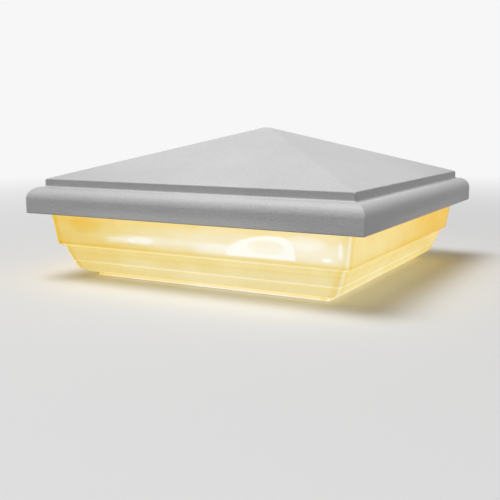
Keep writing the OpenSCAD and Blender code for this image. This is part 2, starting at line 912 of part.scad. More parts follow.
// the hollow of the roof, left thick below the outer face
function hollow_side(thick) = [
  [step_half - thick, z_shoulder - cut],
  [step_half - thick, under_roof(step_half - thick, thick)],
  [peak_half, under_roof(peak_half, thick)]
];

module roof() {
  color(roof_grey)
    difference() {
      union() {
        difference() {
          square_moulding(roof_side());
          square_moulding(hollow_side(roof_wall));
          square_sheet(recess_half, z_rim - cut, z_shoulder - z_rim + cut);
        }
        intersection() {
          square_moulding(hollow_side(roof_wall / 2));
          union() {
            at_corners(boss_at, boss_at)
              translate([0, 0, z_boss]) cylinder(h = z_peak - z_boss, r = boss_r);
            for (s = [-1, 1])
              translate([s * (lug_in + lug_t / 2) - lug_t / 2, -lug_half_w, z_lug])
                cube([lug_t, 2 * lug_half_w, z_peak - z_lug]);
          }
        }
      }
      at_corners(boss_at, boss_at)
        translate([0, 0, z_boss - cut]) cylinder(h = boss_hole_h + cut, r = m3_hole_r);
    }
}

module roof_gasket() {
  color(foam_black)
    difference() {
      square_sheet(roof_gasket_half, z_lens_top, roof_gasket_t);
      square_sheet(roof_gasket_half - roof_gasket_w, z_lens_top - cut, roof_gasket_t + 2 * cut);
    }
}

module reflector() {
  z0 = z_boss - reflector_t;
  color(board_white)
    difference() {
      square_sheet(reflector_half, z0, reflector_t);
      square_sheet(reflector_open, z0 - cut, reflector_t + 2 * cut);
      at_corners(boss_at, boss_at)
        translate([0, 0, z0 - cut]) cylinder(h = reflector_t + 2 * cut, r = m3_hole_r);
    }
}

module reflector_screws() {
  color(steel)
    at_corners(boss_at, boss_at)
      translate([0, 0, z_boss - reflector_t])
        rotate([180, 0, 0]) m3_screw(reflector_screw_l);
}

post_gasket();
base_plate();
cable_grommet();
light_core();
core_screws();
led_board(0);  // led_board_front
led_board(1);  // led_board_right
led_board(2);  // led_board_back
led_board(3);  // led_board_left
leds(0);  // leds_front
leds(1);  // leds_right
leds(2);  // leds_back
leds(3);  // leds_left
led_board_screws();
jumper_wires_plus();
jumper_wires_minus();
driver_board();
driver_standoffs();
driver_screws();
terminal_block();
terminal_screws();
capacitor();
inductor();
bridge_rectifier();
driver_ic();
feed_wire_plus();
feed_wire_minus();
roof_clip(-1);  // roof_clip_left
roof_clip(1);  // roof_clip_right
clip_screws();
lens();
roof();
roof_gasket();
reflector();
reflector_screws();
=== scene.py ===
import bmesh
import bpy
import json
import math
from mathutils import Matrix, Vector

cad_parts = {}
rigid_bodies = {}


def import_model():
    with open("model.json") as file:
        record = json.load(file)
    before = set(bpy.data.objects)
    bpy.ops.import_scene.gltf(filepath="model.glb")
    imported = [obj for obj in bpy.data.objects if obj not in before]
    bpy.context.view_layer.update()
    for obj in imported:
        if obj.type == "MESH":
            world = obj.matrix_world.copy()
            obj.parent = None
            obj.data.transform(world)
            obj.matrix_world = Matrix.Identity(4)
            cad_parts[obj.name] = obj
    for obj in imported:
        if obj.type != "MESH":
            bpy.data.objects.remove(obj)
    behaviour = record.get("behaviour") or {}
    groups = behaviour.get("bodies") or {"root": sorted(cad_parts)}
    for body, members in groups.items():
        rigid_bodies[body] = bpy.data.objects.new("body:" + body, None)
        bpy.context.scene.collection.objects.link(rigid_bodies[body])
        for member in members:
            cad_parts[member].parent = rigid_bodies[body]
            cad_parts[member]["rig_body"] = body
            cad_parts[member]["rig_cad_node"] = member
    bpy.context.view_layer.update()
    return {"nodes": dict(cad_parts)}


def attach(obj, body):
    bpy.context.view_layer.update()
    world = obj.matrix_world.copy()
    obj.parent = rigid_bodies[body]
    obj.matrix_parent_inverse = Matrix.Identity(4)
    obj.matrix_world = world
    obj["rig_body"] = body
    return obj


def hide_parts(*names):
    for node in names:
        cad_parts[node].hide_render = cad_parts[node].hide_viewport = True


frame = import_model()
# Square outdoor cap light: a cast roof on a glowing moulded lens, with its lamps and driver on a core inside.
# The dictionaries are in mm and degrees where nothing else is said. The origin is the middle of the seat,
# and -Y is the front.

scene = bpy.context.scene
nodes = frame["nodes"]
mm = 0.001
hair = 1e-6   # in metres: points nearer than this are one point
sides = ("front", "right", "back", "left")
quarters = (0, 90, 180, 270)
print("frame loaded:", len(nodes), "nodes")


camera = {
    "azimuth": 28.5,        # round from the front, towards the right side
    "elevation": 9.29,
    "distance": 353.9,
    "aimAcross": -7.5,      # where it looks: to the left of the middle
    "aimHeight": -4.7,
    "focalLength": 54.9, "sensor": 36.0, "nearest": 10.0,
}


def placeCamera(c):
    a, e = math.radians(c["azimuth"]), math.radians(c["elevation"])
    back = Vector((math.sin(a) * math.cos(e), -math.cos(a) * math.cos(e), math.sin(e)))
    across = Vector((math.cos(a), math.sin(a), 0))
    target = across * c["aimAcross"] + Vector((0, 0, c["aimHeight"]))
    bpy.ops.object.camera_add(location=(target + back * c["distance"]) * mm)
    view = bpy.context.object
    view.name = "photoCamera"
    view.rotation_euler = (-back).to_track_quat("-Z", "Y").to_euler()
    view.data.lens = c["focalLength"]
    view.data.sensor_width = c["sensor"]
    view.data.clip_start = c["nearest"] * mm
    scene.camera = view


placeCamera(camera)
print("camera placed")


def toMetres(values):
    return [v * mm for v in values]


def deselectAll():
    bpy.ops.object.select_all(action="DESELECT")


def activate(piece):
    deselectAll()
    piece.select_set(True)
    bpy.context.view_layer.objects.active = piece


def editAll(piece):
    activate(piece)
    bpy.ops.object.mode_set(mode="EDIT")
    bpy.ops.mesh.select_mode(type="VERT")
    bpy.ops.mesh.select_all(action="SELECT")


def leaveEdit():
    bpy.ops.object.mode_set(mode="OBJECT")


def closeForm():
    # in edit mode: turns all faces outwards and leaves the mode
    bpy.ops.mesh.select_all(action="SELECT")
    bpy.ops.mesh.normals_make_consistent(inside=False)
    leaveEdit()


def extrudeBy(move):
    bpy.ops.mesh.extrude_region_move(TRANSFORM_OT_translate={"value": toMetres(move)})


def selectWhere(piece, kind, test):
    # in edit mode: selects the faces or the edges that pass the test
    bpy.ops.mesh.select_mode(type=kind)
    bpy.ops.mesh.select_all(action="DESELECT")
    mesh = bmesh.from_edit_mesh(piece.data)
    for part in mesh.faces if kind == "FACE" else mesh.edges:
        part.select_set(test(part))
    bmesh.update_edit_mesh(piece.data)


def bakePlace(piece):
    # the place goes into the mesh, the object ends at the origin
    activate(piece)
    bpy.ops.object.transform_apply(location=True, rotation=True, scale=True)


def nameAdded(name):
    piece = bpy.context.object
    piece.name = name
    bakePlace(piece)
    return piece


def turnPiece(piece, x=0, y=0, z=0):
    # turns a piece about the origin
    piece.rotation_euler = [math.radians(a) for a in (x, y, z)]
    bakePlace(piece)


def movePiece(piece, x=0, y=0, z=0):
    piece.location = toMetres((x, y, z))
    bakePlace(piece)


def shadeFaces(piece, angle=40):
    activate(piece)
    bpy.ops.object.shade_smooth_by_angle(angle=math.radians(angle))
    weighted = piece.modifiers.new("faces", "WEIGHTED_NORMAL")
    weighted.keep_sharp = True
    bpy.ops.object.modifier_apply(modifier=weighted.name)


def softenEdges(piece, width, segments=2, angle=30):
    # rounds every sharp edge and keeps the flat faces flat in the light
    activate(piece)
    bevel = piece.modifiers.new("edges", "BEVEL")
    bevel.width = width * mm
    bevel.segments = segments
    bevel.limit_method = "ANGLE"
    bevel.angle_limit = math.radians(angle)
    bpy.ops.object.modifier_apply(modifier=bevel.name)
    shadeFaces(piece)


def cutWith(piece, cutter):
    activate(piece)
    cut = piece.modifiers.new("cut", "BOOLEAN")
    cut.operation = "DIFFERENCE"
    cut.object = cutter
    bpy.ops.object.modifier_apply(modifier=cut.name)
    bpy.data.objects.remove(cutter)


def joinPieces(name, parts):
    deselectAll()
    for part in parts:
        part.select_set(True)
    bpy.context.view_layer.objects.active = parts[0]
    bpy.ops.object.join()
    parts[0].name = name
    return parts[0]


def repeatPiece(piece, name, places, turns=(0,)):
    # copies of a piece at each place, all of them turned about the middle, joined into one
    copies = []
    for turn in turns:
        for place in places:
            activate(piece)
            bpy.ops.object.duplicate(linked=False)
            copy = bpy.context.object
            a = math.radians(turn)
            x, y, z = toMetres(place)
            copy.location = (x * math.cos(a) - y * math.sin(a), x * math.sin(a) + y * math.cos(a), z)
            copy.rotation_euler = (0, 0, a)
            bakePlace(copy)
            copies.append(copy)
    bpy.data.objects.remove(piece)
    return joinPieces(name, copies)


def roundedCopy(node, name, width, segments):
    # a copy of a CAD node with its edges rounded, for bent and moulded parts
    deselectAll()
    piece = nodes[node].copy()
    piece.data = nodes[node].data.copy()
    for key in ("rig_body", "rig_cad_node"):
        del piece[key]
    piece.parent = None
    piece.name = name
    scene.collection.objects.link(piece)
    editAll(piece)
    bpy.ops.mesh.remove_doubles(threshold=2 * hair)
    bpy.ops.mesh.dissolve_limited(angle_limit=math.radians(0.5))
    leaveEdit()
    softenEdges(piece, width, segments)
    return piece


def addBox(name, low, high, edge=0, segments=2):
    # a box between two corners, with its edges rounded where a width is given
    deselectAll()
    middle = [(a + b) / 2 * mm for a, b in zip(low, high)]
    bpy.ops.mesh.primitive_cube_add(size=1, location=middle, scale=[(b - a) * mm for a, b in zip(low, high)])
    piece = nameAdded(name)
    if edge:
        softenEdges(piece, edge, segments)
    return piece


def raiseProfile(name, profile, around=4, centre=(0, 0), shade=None, closed=False):
    # a flat face is extruded and resized from point to point of a profile of (half width, height);
    # with 4 sides around that is a square moulding with true mitres, with more it is a turned shape
    half, z = profile[0]
    place = toMetres((*centre, z))
    deselectAll()
    if around == 4:
        bpy.ops.mesh.primitive_plane_add(size=2 * half * mm, location=place)
    else:
        bpy.ops.mesh.primitive_circle_add(vertices=around, radius=half * mm, fill_type="NGON", location=place)
    piece = nameAdded(name)
    editAll(piece)
    for nextHalf, nextZ in profile[1:]:
        extrudeBy((0, 0, nextZ - z))
        if nextHalf != half:
            k = nextHalf / half
            bpy.ops.transform.resize(value=(k, k, 1), center_override=(place[0], place[1], nextZ * mm))
        half, z = nextHalf, nextZ
    if closed:
        # the first and the last face lie on each other: both go, and their edges are joined
        first = Vector(place)
        selectWhere(piece, "FACE", lambda face: (face.calc_center_median() - first).length < 10 * hair)
        bpy.ops.mesh.delete(type="ONLY_FACE")
        bpy.ops.mesh.select_all(action="SELECT")
        bpy.ops.mesh.remove_doubles(threshold=hair)
    closeForm()
    if shade:
        shadeFaces(piece, shade)
    return piece


def pushOutline(name, points, push):
    # draws an outline with one vertex after another, fills it and extrudes it
    deselectAll()
    bpy.ops.mesh.primitive_plane_add(size=mm, location=toMetres(points[0]))
    piece = nameAdded(name)
    editAll(piece)
    bpy.ops.mesh.merge(type="CENTER")
    for here, point in zip(points, points[1:]):
        extrudeBy([b - a for a, b in zip(here, point)])
    bpy.ops.mesh.select_all(action="SELECT")
    bpy.ops.mesh.edge_face_add()
    extrudeBy(push)
    closeForm()
    return piece


def runWire(name, start, heading, radius, steps):
    # a round wire: a disc is pushed along straight runs and spun round bends;
    # a step is ("go", dx, dy, dz) or ("turn", centre, axis, degrees)
    turn = Vector((0, 0, 1)).rotation_difference(Vector(heading)).to_euler()
    deselectAll()
    bpy.ops.mesh.primitive_circle_add(
        vertices=20, radius=radius * mm, fill_type="NGON", location=toMetres(start), rotation=turn
    )
    piece = nameAdded(name)
    editAll(piece)
    for step in steps:
        if step[0] == "go":
            extrudeBy(step[1:])
        else:
            centre, axis, angle = step[1:]
            bpy.ops.mesh.spin(steps=8, angle=-math.radians(angle), center=toMetres(centre), axis=axis)
    closeForm()
    shadeFaces(piece, 60)
    return piece


def arcPoints(cx, cz, rx, rz, start, end, steps):
    angles = [math.radians(start + (end - start) * i / steps) for i in range(steps + 1)]
    return [(cx + rx * math.cos(a), cz + rz * math.sin(a)) for a in angles]


def fourCorners(x, y, z):
    return [(-x, -y, z), (x, -y, z), (x, y, z), (-x, y, z)]


roof = {
    "rimHalf": 75.0, "rimLow": 16.0, "rimTop": 21.9,
    "ovoloWide": 4.6, "ovoloHigh": 5.0, "ovoloSteps": 12,
    "stepHalf": 69.2, "coveRadius": 0.7, "coveSteps": 5, "eaves": 30.3,
    "peakHalf": 1.2, "peak": 51.5,
    "recessHalf": 72.0, "shoulder": 20.7, "hollowHalf": 66.7, "wall": 2.5,
    "edgeRound": 0.45, "edgeSteps": 3, "edgeAngle": 34, "hipRound": 1.1, "hipSteps": 4,
    "bossAt": 49.0, "bossRadius": 4.0, "bossLow": 21.2, "bossEdge": 0.4, "bossInto": 1.2,
    "holeRadius": 1.6, "holeDepth": 9.0, "holeEdge": 0.2, "tipHalf": 0.2, "tipHigh": 0.8,
    "lugIn": 27.0, "lugOut": 29.5, "lugHalf": 6.0, "lugLow": 26.0, "lugEdge": 0.4, "lugInto": 1.0,
}


def makeRoof(r):
    slope = (r["peak"] - r["eaves"]) / (r["stepHalf"] - r["peakHalf"])

    def ceiling(half):
        return r["eaves"] + (r["stepHalf"] - half) * slope - r["wall"]

    cove, ledge = r["coveRadius"], r["rimTop"] + r["ovoloHigh"]
    profile = [(half, ceiling(half)) for half in (r["peakHalf"], r["hollowHalf"])]
    profile += [(r["hollowHalf"], r["shoulder"]), (r["recessHalf"], r["shoulder"])]
    profile += [(r["recessHalf"], r["rimLow"]), (r["rimHalf"], r["rimLow"])]
    ovoloAt = r["rimHalf"] - r["ovoloWide"]
    profile += arcPoints(ovoloAt, r["rimTop"], r["ovoloWide"], r["ovoloHigh"], 0, 90, r["ovoloSteps"])
    profile += arcPoints(r["stepHalf"] + cove, ledge + cove, cove, cove, 270, 180, r["coveSteps"])
    profile += [(r["stepHalf"], r["eaves"]), (r["peakHalf"], r["peak"])]
    shell = raiseProfile("castRoof", profile)
    editAll(shell)
    eaves, peak = toMetres((r["eaves"], r["peak"]))

    def onHip(edge):
        low, high = sorted(v.co.z for v in edge.verts)
        return abs(high - peak) < hair and min(abs(low - eaves), abs(low - peak)) < hair

    selectWhere(shell, "EDGE", onHip)
    bpy.ops.mesh.bevel(offset=r["hipRound"] * mm, segments=r["hipSteps"], affect="EDGES")
    leaveEdit()
    softenEdges(shell, r["edgeRound"], r["edgeSteps"], r["edgeAngle"])

    at, low, edge, chamfer = r["bossAt"], r["bossLow"], r["bossEdge"], r["holeEdge"]
    outer, inner, hole = r["bossRadius"], r["holeRadius"], low + r["holeDepth"]
    rings = [(outer, ceiling(at) + r["bossInto"]), (outer, low + edge), (outer - edge, low)]
    rings += [(inner + chamfer, low), (inner, low + chamfer), (inner, hole)]
    rings += [(r["tipHalf"], hole + r["tipHigh"])]
    boss = raiseProfile("boss", rings, 32, shade=40)
    bosses = repeatPiece(boss, "bosses", fourCorners(at, at, 0))
    lugTop = ceiling(r["lugOut"]) + r["lugInto"]
    lugs = []
    for side in (-1, 1):
        near, far = sorted((side * r["lugIn"], side * r["lugOut"]))
        low, high = (near, -r["lugHalf"], r["lugLow"]), (far, r["lugHalf"], lugTop)
        lugs.append(addBox("lug", low, high, r["lugEdge"]))
    return joinPieces("castRoof", [shell, bosses, *lugs])


lens = {
    "lipIn": 52.3, "lipOut": 54.5, "low": -12.0, "foot": -10.2, "footIn": 55.7,
    "bead": -5.0, "footOut": 61.6, "footHigh": 5.2, "footFrom": -78,
    "band2Low": 62.0, "band2Top": 63.8, "cove": -0.3, "coveFrom": 168,
    "band1Low": 66.4, "band1": 2.5, "top": 68.2, "rim": 16.0,
    "flangeLow": 17.7, "flangeTop": 19.7, "flangeHalf": 71.5,
    "wall": 2.2, "bandIn": 0.8, "coveIn": 0.3, "beadIn": 0.5,   # the last three are shares of the wall
    "cornerRound": 1.3, "cornerSteps": 4, "edgeRound": 0.3, "edgeAngle": 38,
    "ribAt": 30.0, "ribHalf": 1.5, "ribTip": 46.8, "seat": 4.5, "nose": 2.0, "rise": 9.0,
    "ribGap": 0.2, "ribUnder": 2.2, "ribOver": 0.4, "ribCove": 0.9, "ribEdge": 0.25,
}


def makeLens(q):
    t = q["wall"]
    footWide, footHigh = q["footOut"] - q["footIn"], q["footHigh"]
    outside = [(q["lipIn"], q["low"]), (q["lipOut"], q["low"])]
    outside += [(q["lipOut"], q["foot"]), (q["footIn"], q["foot"])]
    outside += arcPoints(q["footIn"], q["bead"], footWide, footHigh, q["footFrom"], 0, 10)
    outside += [(q["band2Low"], q["bead"]), (q["band2Top"], q["cove"])]
    coveWide, coveHigh = q["band1Low"] - q["band2Top"], q["band1"] - q["cove"]
    outside += arcPoints(q["band1Low"], q["cove"], coveWide, coveHigh, q["coveFrom"], 90, 8)
    outside += [(q["top"], q["rim"]), (q["top"], q["flangeLow"])]
    outside += [(q["flangeHalf"], q["flangeLow"]), (q["flangeHalf"], q["flangeTop"])]
    inside = [(q["top"] - t, q["flangeTop"]), (q["top"] - t, q["rim"])]
    inside += [(q["band1Low"] - t, q["band1"] + q["bandIn"] * t)]
    inside += [(q["band2Top"] - t, q["cove"] + q["coveIn"] * t)]
    inside += [(q["band2Low"] - t, q["bead"] + q["beadIn"] * t)]
    inside += arcPoints(q["footIn"], q["bead"], footWide - t, footHigh - t, 0, q["footFrom"], 8)
    inside += [(q["footIn"], q["foot"] + t), (q["lipIn"], q["foot"] + t), (q["lipIn"], q["low"])]
    shell = raiseProfile("mouldedLens", outside + inside, closed=True)
    editAll(shell)
    outerPoints = [toMetres(point) for point in outside[1:]]

    def isOutside(v):
        return any(abs(abs(v.x) - h) < hair and abs(v.z - z) < hair for h, z in outerPoints)

    def onOuterMitre(edge):
        a, b = [v.co for v in edge.verts]
        onDiagonal = all(abs(abs(v.x) - abs(v.y)) < hair for v in (a, b))
        sameCorner = a.x * b.x > 0 and a.y * b.y > 0
        return onDiagonal and sameCorner and (a - b).length > hair and isOutside(a) and isOutside(b)

    selectWhere(shell, "EDGE", onOuterMitre)
    bpy.ops.mesh.bevel(offset=q["cornerRound"] * mm, segments=q["cornerSteps"], affect="EDGES")
    leaveEdit()
    softenEdges(shell, q["edgeRound"], 2, q["edgeAngle"])

    # one rib: its outline is drawn point by point, filled and pushed out to its thickness
    step, gap, under, over = t / 2, q["ribGap"], q["ribUnder"], q["ribOver"]
    nose = q["seat"] + q["nose"]
    outline = [(q["lipIn"] + gap, q["foot"] + step), (q["footIn"], q["foot"] + step)]
    outline += [(q["footOut"] - under, q["bead"] - under), (q["band2Low"] - step, q["bead"] + over)]
    outline += [(q["band2Top"] - step, q["cove"] + over), (q["band1Low"] - step, q["band1"] + q["ribCove"])]
    outline += [(q["top"] - step - gap, nose + q["rise"] - gap)]
    outline += [(q["ribTip"], nose), (q["ribTip"], q["seat"]), (q["lipIn"] + gap, q["seat"])]
    rib = pushOutline("rib", [(-q["ribHalf"], -h, z) for h, z in outline], (2 * q["ribHalf"], 0, 0))
    softenEdges(rib, q["ribEdge"])
    ribs = repeatPiece(rib, "ribs", [(-q["ribAt"], 0, 0), (q["ribAt"], 0, 0)], quarters)
    return joinPieces("mouldedLens", [shell, ribs])


roofPiece = makeRoof(roof)
print("roof modelled")
lensPiece = makeLens(lens)
print("lens modelled")


screwSizes = {
    "m3": {"radius": 1.5, "root": 1.2, "pitch": 0.5, "head": 2.7, "headHigh": 1.95},
    "m25": {"radius": 1.25, "root": 1.0, "pitch": 0.45, "head": 2.25, "headHigh": 1.375},
}
# node: size, length, places, tilt, turns
screwSets = {
    "core_screws": ("m3", 4.2, [(0, -30.5, 6.0)], 0, quarters),
    "led_board_screws": ("m25", 3.7, [(-20.5, -27.2, 12.9), (20.5, -27.2, 12.9)], 90, quarters),
    "driver_screws": ("m25", 7.1, fourCorners(14, 17, 27.1), 0, (0,)),
    "clip_screws": ("m25", 3.0, [(-21.5, 0, 23.0), (21.5, 0, 23.0)], 0, (0,)),
    "reflector_screws": ("m3", 9.0, fourCorners(49, 49, 20.2), 180, (0,)),
}
# shares of the radius, of the pitch, and of the width and height of the head
thread = {"tip": 0.6, "tipHigh": 0.4, "start": 0.6, "crestFrom": 0.4, "crestTo": 0.55, "rootFrom": 0.9}
screwHead = {"edge": 0.15, "domeFrom": 0.6, "domeLow": 0.4, "flat": 0.3, "round": 0.05}
recess = {"half": 0.55, "wide": 0.125, "floor": 0.42, "above": 1.2, "taper": (0.5, 0.6, 1)}


def makeScrew(name, size, length):
    # threaded from its blunt tip up to the neck, with a domed head and a cross recess
    radius, root, pitch, head, high = [size[key] for key in ("radius", "root", "pitch", "head", "headHigh")]
    z = -length + thread["start"] * radius
    profile = [(radius * thread["tip"], -length), (root, -length + thread["tipHigh"] * radius)]
    while z < -pitch:
        crest = [(radius, z + pitch * thread[key]) for key in ("crestFrom", "crestTo")]
        profile += [(root, z), *crest, (root, z + pitch * thread["rootFrom"])]
        z += pitch
    profile += [(root, 0.0), (head - screwHead["edge"], 0.0), (head, screwHead["edge"])]
    inner, low = head * screwHead["domeFrom"], high * screwHead["domeLow"]
    profile += arcPoints(inner, low, head - inner, high - low, 0, 84, 6) + [(head * screwHead["flat"], high)]
    screw = raiseProfile(name, profile, 32)
    half, wide, floor = head * recess["half"], head * recess["wide"], high * recess["floor"]
    for turn in (0, 90):
        arm = addBox("arm", (-half, -wide, floor), (half, wide, high * recess["above"]))
        editAll(arm)
        selectWhere(arm, "FACE", lambda face: face.normal.z < -0.9)
        bpy.ops.transform.resize(value=recess["taper"], center_override=(0, 0, floor * mm))
        leaveEdit()
        turnPiece(arm, z=turn)
        cutWith(screw, arm)
    softenEdges(screw, screwHead["round"], 2, 50)
    return screw


screwPieces = {}
for node, (size, length, places, tilt, turns) in screwSets.items():
    screw = makeScrew("screw", screwSizes[size], length)
    turnPiece(screw, x=tilt)
    screwPieces[node] = repeatPiece(screw, node + "_cut", places, turns)
print("screws modelled")


led = {
    "long": 1.75, "high": 1.4, "thick": 0.8, "bodyLong": 1.66, "edge": 0.09,
    "wellLow": 1.0, "wellTop": 1.22, "wellDepth": 0.42, "wellOver": 0.02, "cutTop": 1.2,
    "fillGap": 0.02, "fillBelow": 0.05, "fillEdge": 0.16, "domeSteps": (0.9, 0.7, 0.45, 0.2),
    "contactHigh": 0.95, "contactThick": 0.3, "contactIn": 0.35, "contactLow": 0.01, "contactEdge": 0.06,
    "first": -15.5, "pitch": 6.2, "count": 6, "face": 27.2, "middle": 12.9,
}
# the rates are shares of the thickness, so that no two tops lie in one plane
ledStrip = {
    "padLong": 1.1, "padHigh": 1.15, "padIn": 0.1, "trackHalf": 0.5, "thick": 0.045, "edge": 0.4,
    "runRate": 0.9, "railRate": 0.8, "linkRate": 0.85, "linkOut": 0.2,
    "jointX": 21.6, "jointZ": 4.0, "railHalf": 0.45,
}


def ledPlaces(q):
    return [(q["first"] + i * q["pitch"], -q["face"], q["middle"]) for i in range(q["count"])]


def makeLedBody(q):
    half, high = q["bodyLong"], q["high"]
    body = addBox("ledBody", (-half, -high, 0), (half, high, q["thick"]), q["edge"])
    profile = [(q["wellLow"], q["thick"] - q["wellDepth"]), (q["wellTop"], q["thick"] + q["wellOver"])]
    cutWith(body, raiseProfile("well", profile + [(q["wellTop"], q["cutTop"])], 32))
    shadeFaces(body)
    return body


def makePhosphor(q):
    # the filled well: a soft dome that stays below the body's face
    floor, top = q["thick"] - q["wellDepth"] + q["fillGap"], q["thick"] - q["fillBelow"]
    edge = floor + q["fillEdge"]
    profile = [(q["wellLow"], floor), (q["wellLow"] + q["fillBelow"], edge)]
    profile += [(q["wellLow"] * k, top - (top - edge) * k * k) for k in q["domeSteps"]]
    return raiseProfile("phosphor", profile, 24, shade=60)


def makeContacts(q):
    parts = []
    for side in (-1, 1):
        near, far = sorted((side * (q["bodyLong"] - q["contactIn"]), side * q["long"]))
        low, high = (near, -q["contactHigh"], q["contactLow"]), (far, q["contactHigh"], q["contactThick"])
        parts.append(addBox("contact", low, high, q["contactEdge"]))
    return joinPieces("contacts", parts)


def makeStripTracks(q, p):
    # the copper under the white coat: pads below the lamps, the runs between them and the two rails
    parts = []

    def addPatch(x, y, rate=1.0):
        thick = p["thick"] * rate
        parts.append(addBox("patch", (x[0], y[0], 0.0), (x[1], y[1], thick), thick * p["edge"], 1))

    track = p["trackHalf"]
    for i in range(q["count"]):
        x = q["first"] + i * q["pitch"]
        for side in (-1, 1):
            middle = x + side * (q["long"] - p["padIn"])
            addPatch((middle - p["padLong"], middle + p["padLong"]), (-p["padHigh"], p["padHigh"]))
        if i:
            addPatch((x - q["pitch"] + q["long"], x - q["long"]), (-track, track), p["runRate"])
    for side in (-1, 1):
        rail = side * p["jointZ"]
        addPatch((-p["jointX"], p["jointX"]), (rail - p["railHalf"], rail + p["railHalf"]), p["railRate"])
        end = side * ((q["count"] - 1) / 2 * q["pitch"] + q["long"] + p["linkOut"])
        addPatch((end - track, end + track), sorted((0, rail)), p["linkRate"])
    tracks = joinPieces("ledTracks", parts)
    turnPiece(tracks, x=90)
    return repeatPiece(tracks, "ledTracks", [(0, -q["face"], q["middle"])], quarters)


ledPieces = {}
ledMakers = {"ledBodies": makeLedBody, "ledPhosphor": makePhosphor, "ledContacts": makeContacts}
for turn, side in zip(quarters, sides):
    for title, maker in ledMakers.items():
        part = maker(led)
        turnPiece(part, x=90)
        ledPieces[title, side] = repeatPiece(part, title + side.capitalize(), ledPlaces(led), (turn,))
tracksPiece = makeStripTracks(led, ledStrip)
print("lamps modelled")


wire = {
    "radius": 0.6, "line": 28.4, "bend": 2.5, "bare": 1.5,
    "feedStart": -17.5, "feedTop": 28.3, "feedBend": 25.8, "padTop": 27.1,
}
# both poles: finish and slot of the sleeve, height on the LED boards, x of the feed wire
poles = {
    "Plus": {"finish": "wireRed", "slot": "wire_red", "z": 16.9, "x": -4.0},
    "Minus": {"finish": "wireBlack", "slot": "wire_black", "z": 8.9, "x": 4.0},
}
# profiles of a drop of solder and of the bit of bare wire in it
joint = {
    "drop": [(1.3, 0.02), (1.24, 0.14), (1.02, 0.42), (0.86, 0.9), (0.76, 1.3), (0.62, 1.62),
             (0.42, 1.88), (0.16, 2.0)],
    "rod": [(0.34, 0.0), (0.34, 1.9), (0.272, 1.95)],
}


def makeJoint(high, turn):
    # the drop spreads on its pad and rises round the wire
    drop = raiseProfile("solder", joint["drop"], 24, shade=60)
    rod = raiseProfile("bareWire", joint["rod"], 16, shade=60)
    turnPiece(rod, y=90)
    movePiece(rod, z=high)
    piece = joinPieces("joint", [drop, rod])
    turnPiece(piece, z=turn)
    return piece


def makeJumper(name, w, z):
    turnAt = w["line"] - w["bend"]
    start = ledStrip["jointX"] + w["bare"]
    straight = turnAt - start
    steps = [("go", straight, 0, 0), ("turn", (turnAt, -turnAt, z), (0, 0, 1), 90), ("go", 0, straight, 0)]
    sleeve = runWire(name, (start, -w["line"], z), (1, 0, 0), w["radius"], steps)
    return repeatPiece(sleeve, name, [(0, 0, 0)], quarters[:3])


def makeJumperJoints(name, w, z):
    # both ends of the three jumpers
    ends = []
    for turn, x, turns in ((0, ledStrip["jointX"], quarters[:3]), (180, -ledStrip["jointX"], quarters[1:])):
        end = makeJoint(w["line"] - led["face"], turn)
        turnPiece(end, x=90)
        ends.append(repeatPiece(end, "joints", [(x, -led["face"], z)], turns))
    return joinPieces(name, ends)


def makeFeed(name, w, x):
    start, bendAt = w["feedStart"] - w["bare"], w["bend"] - w["line"]
    steps = [("go", 0, bendAt - start, 0), ("turn", (x, bendAt, w["feedBend"]), (1, 0, 0), 90)]
    steps += [("go", 0, 0, poles["Plus"]["z"] + w["bare"] - w["feedBend"])]
    return runWire(name, (x, start, w["feedTop"]), (0, -1, 0), w["radius"], steps)


def makeFeedJoints(name, w, x):
    top = makeJoint(w["feedTop"] - w["padTop"], -90)
    movePiece(top, x, w["feedStart"], w["padTop"])
    side = makeJoint(w["line"] - led["face"], 90)
    turnPiece(side, x=90)
    movePiece(side, x, -led["face"], poles["Plus"]["z"])
    return joinPieces(name, [top, side])


jumpers = {pole: makeJumper("jumperSleeves" + pole, wire, p["z"]) for pole, p in poles.items()}
jumperJoints = [makeJumperJoints("jumperJoints" + pole, wire, p["z"]) for pole, p in poles.items()]
feeds = {pole: makeFeed("feedSleeve" + pole, wire, p["x"]) for pole, p in poles.items()}
feedJoints = [makeFeedJoints("feedJoints" + pole, wire, p["x"]) for pole, p in poles.items()]
print("wires modelled")


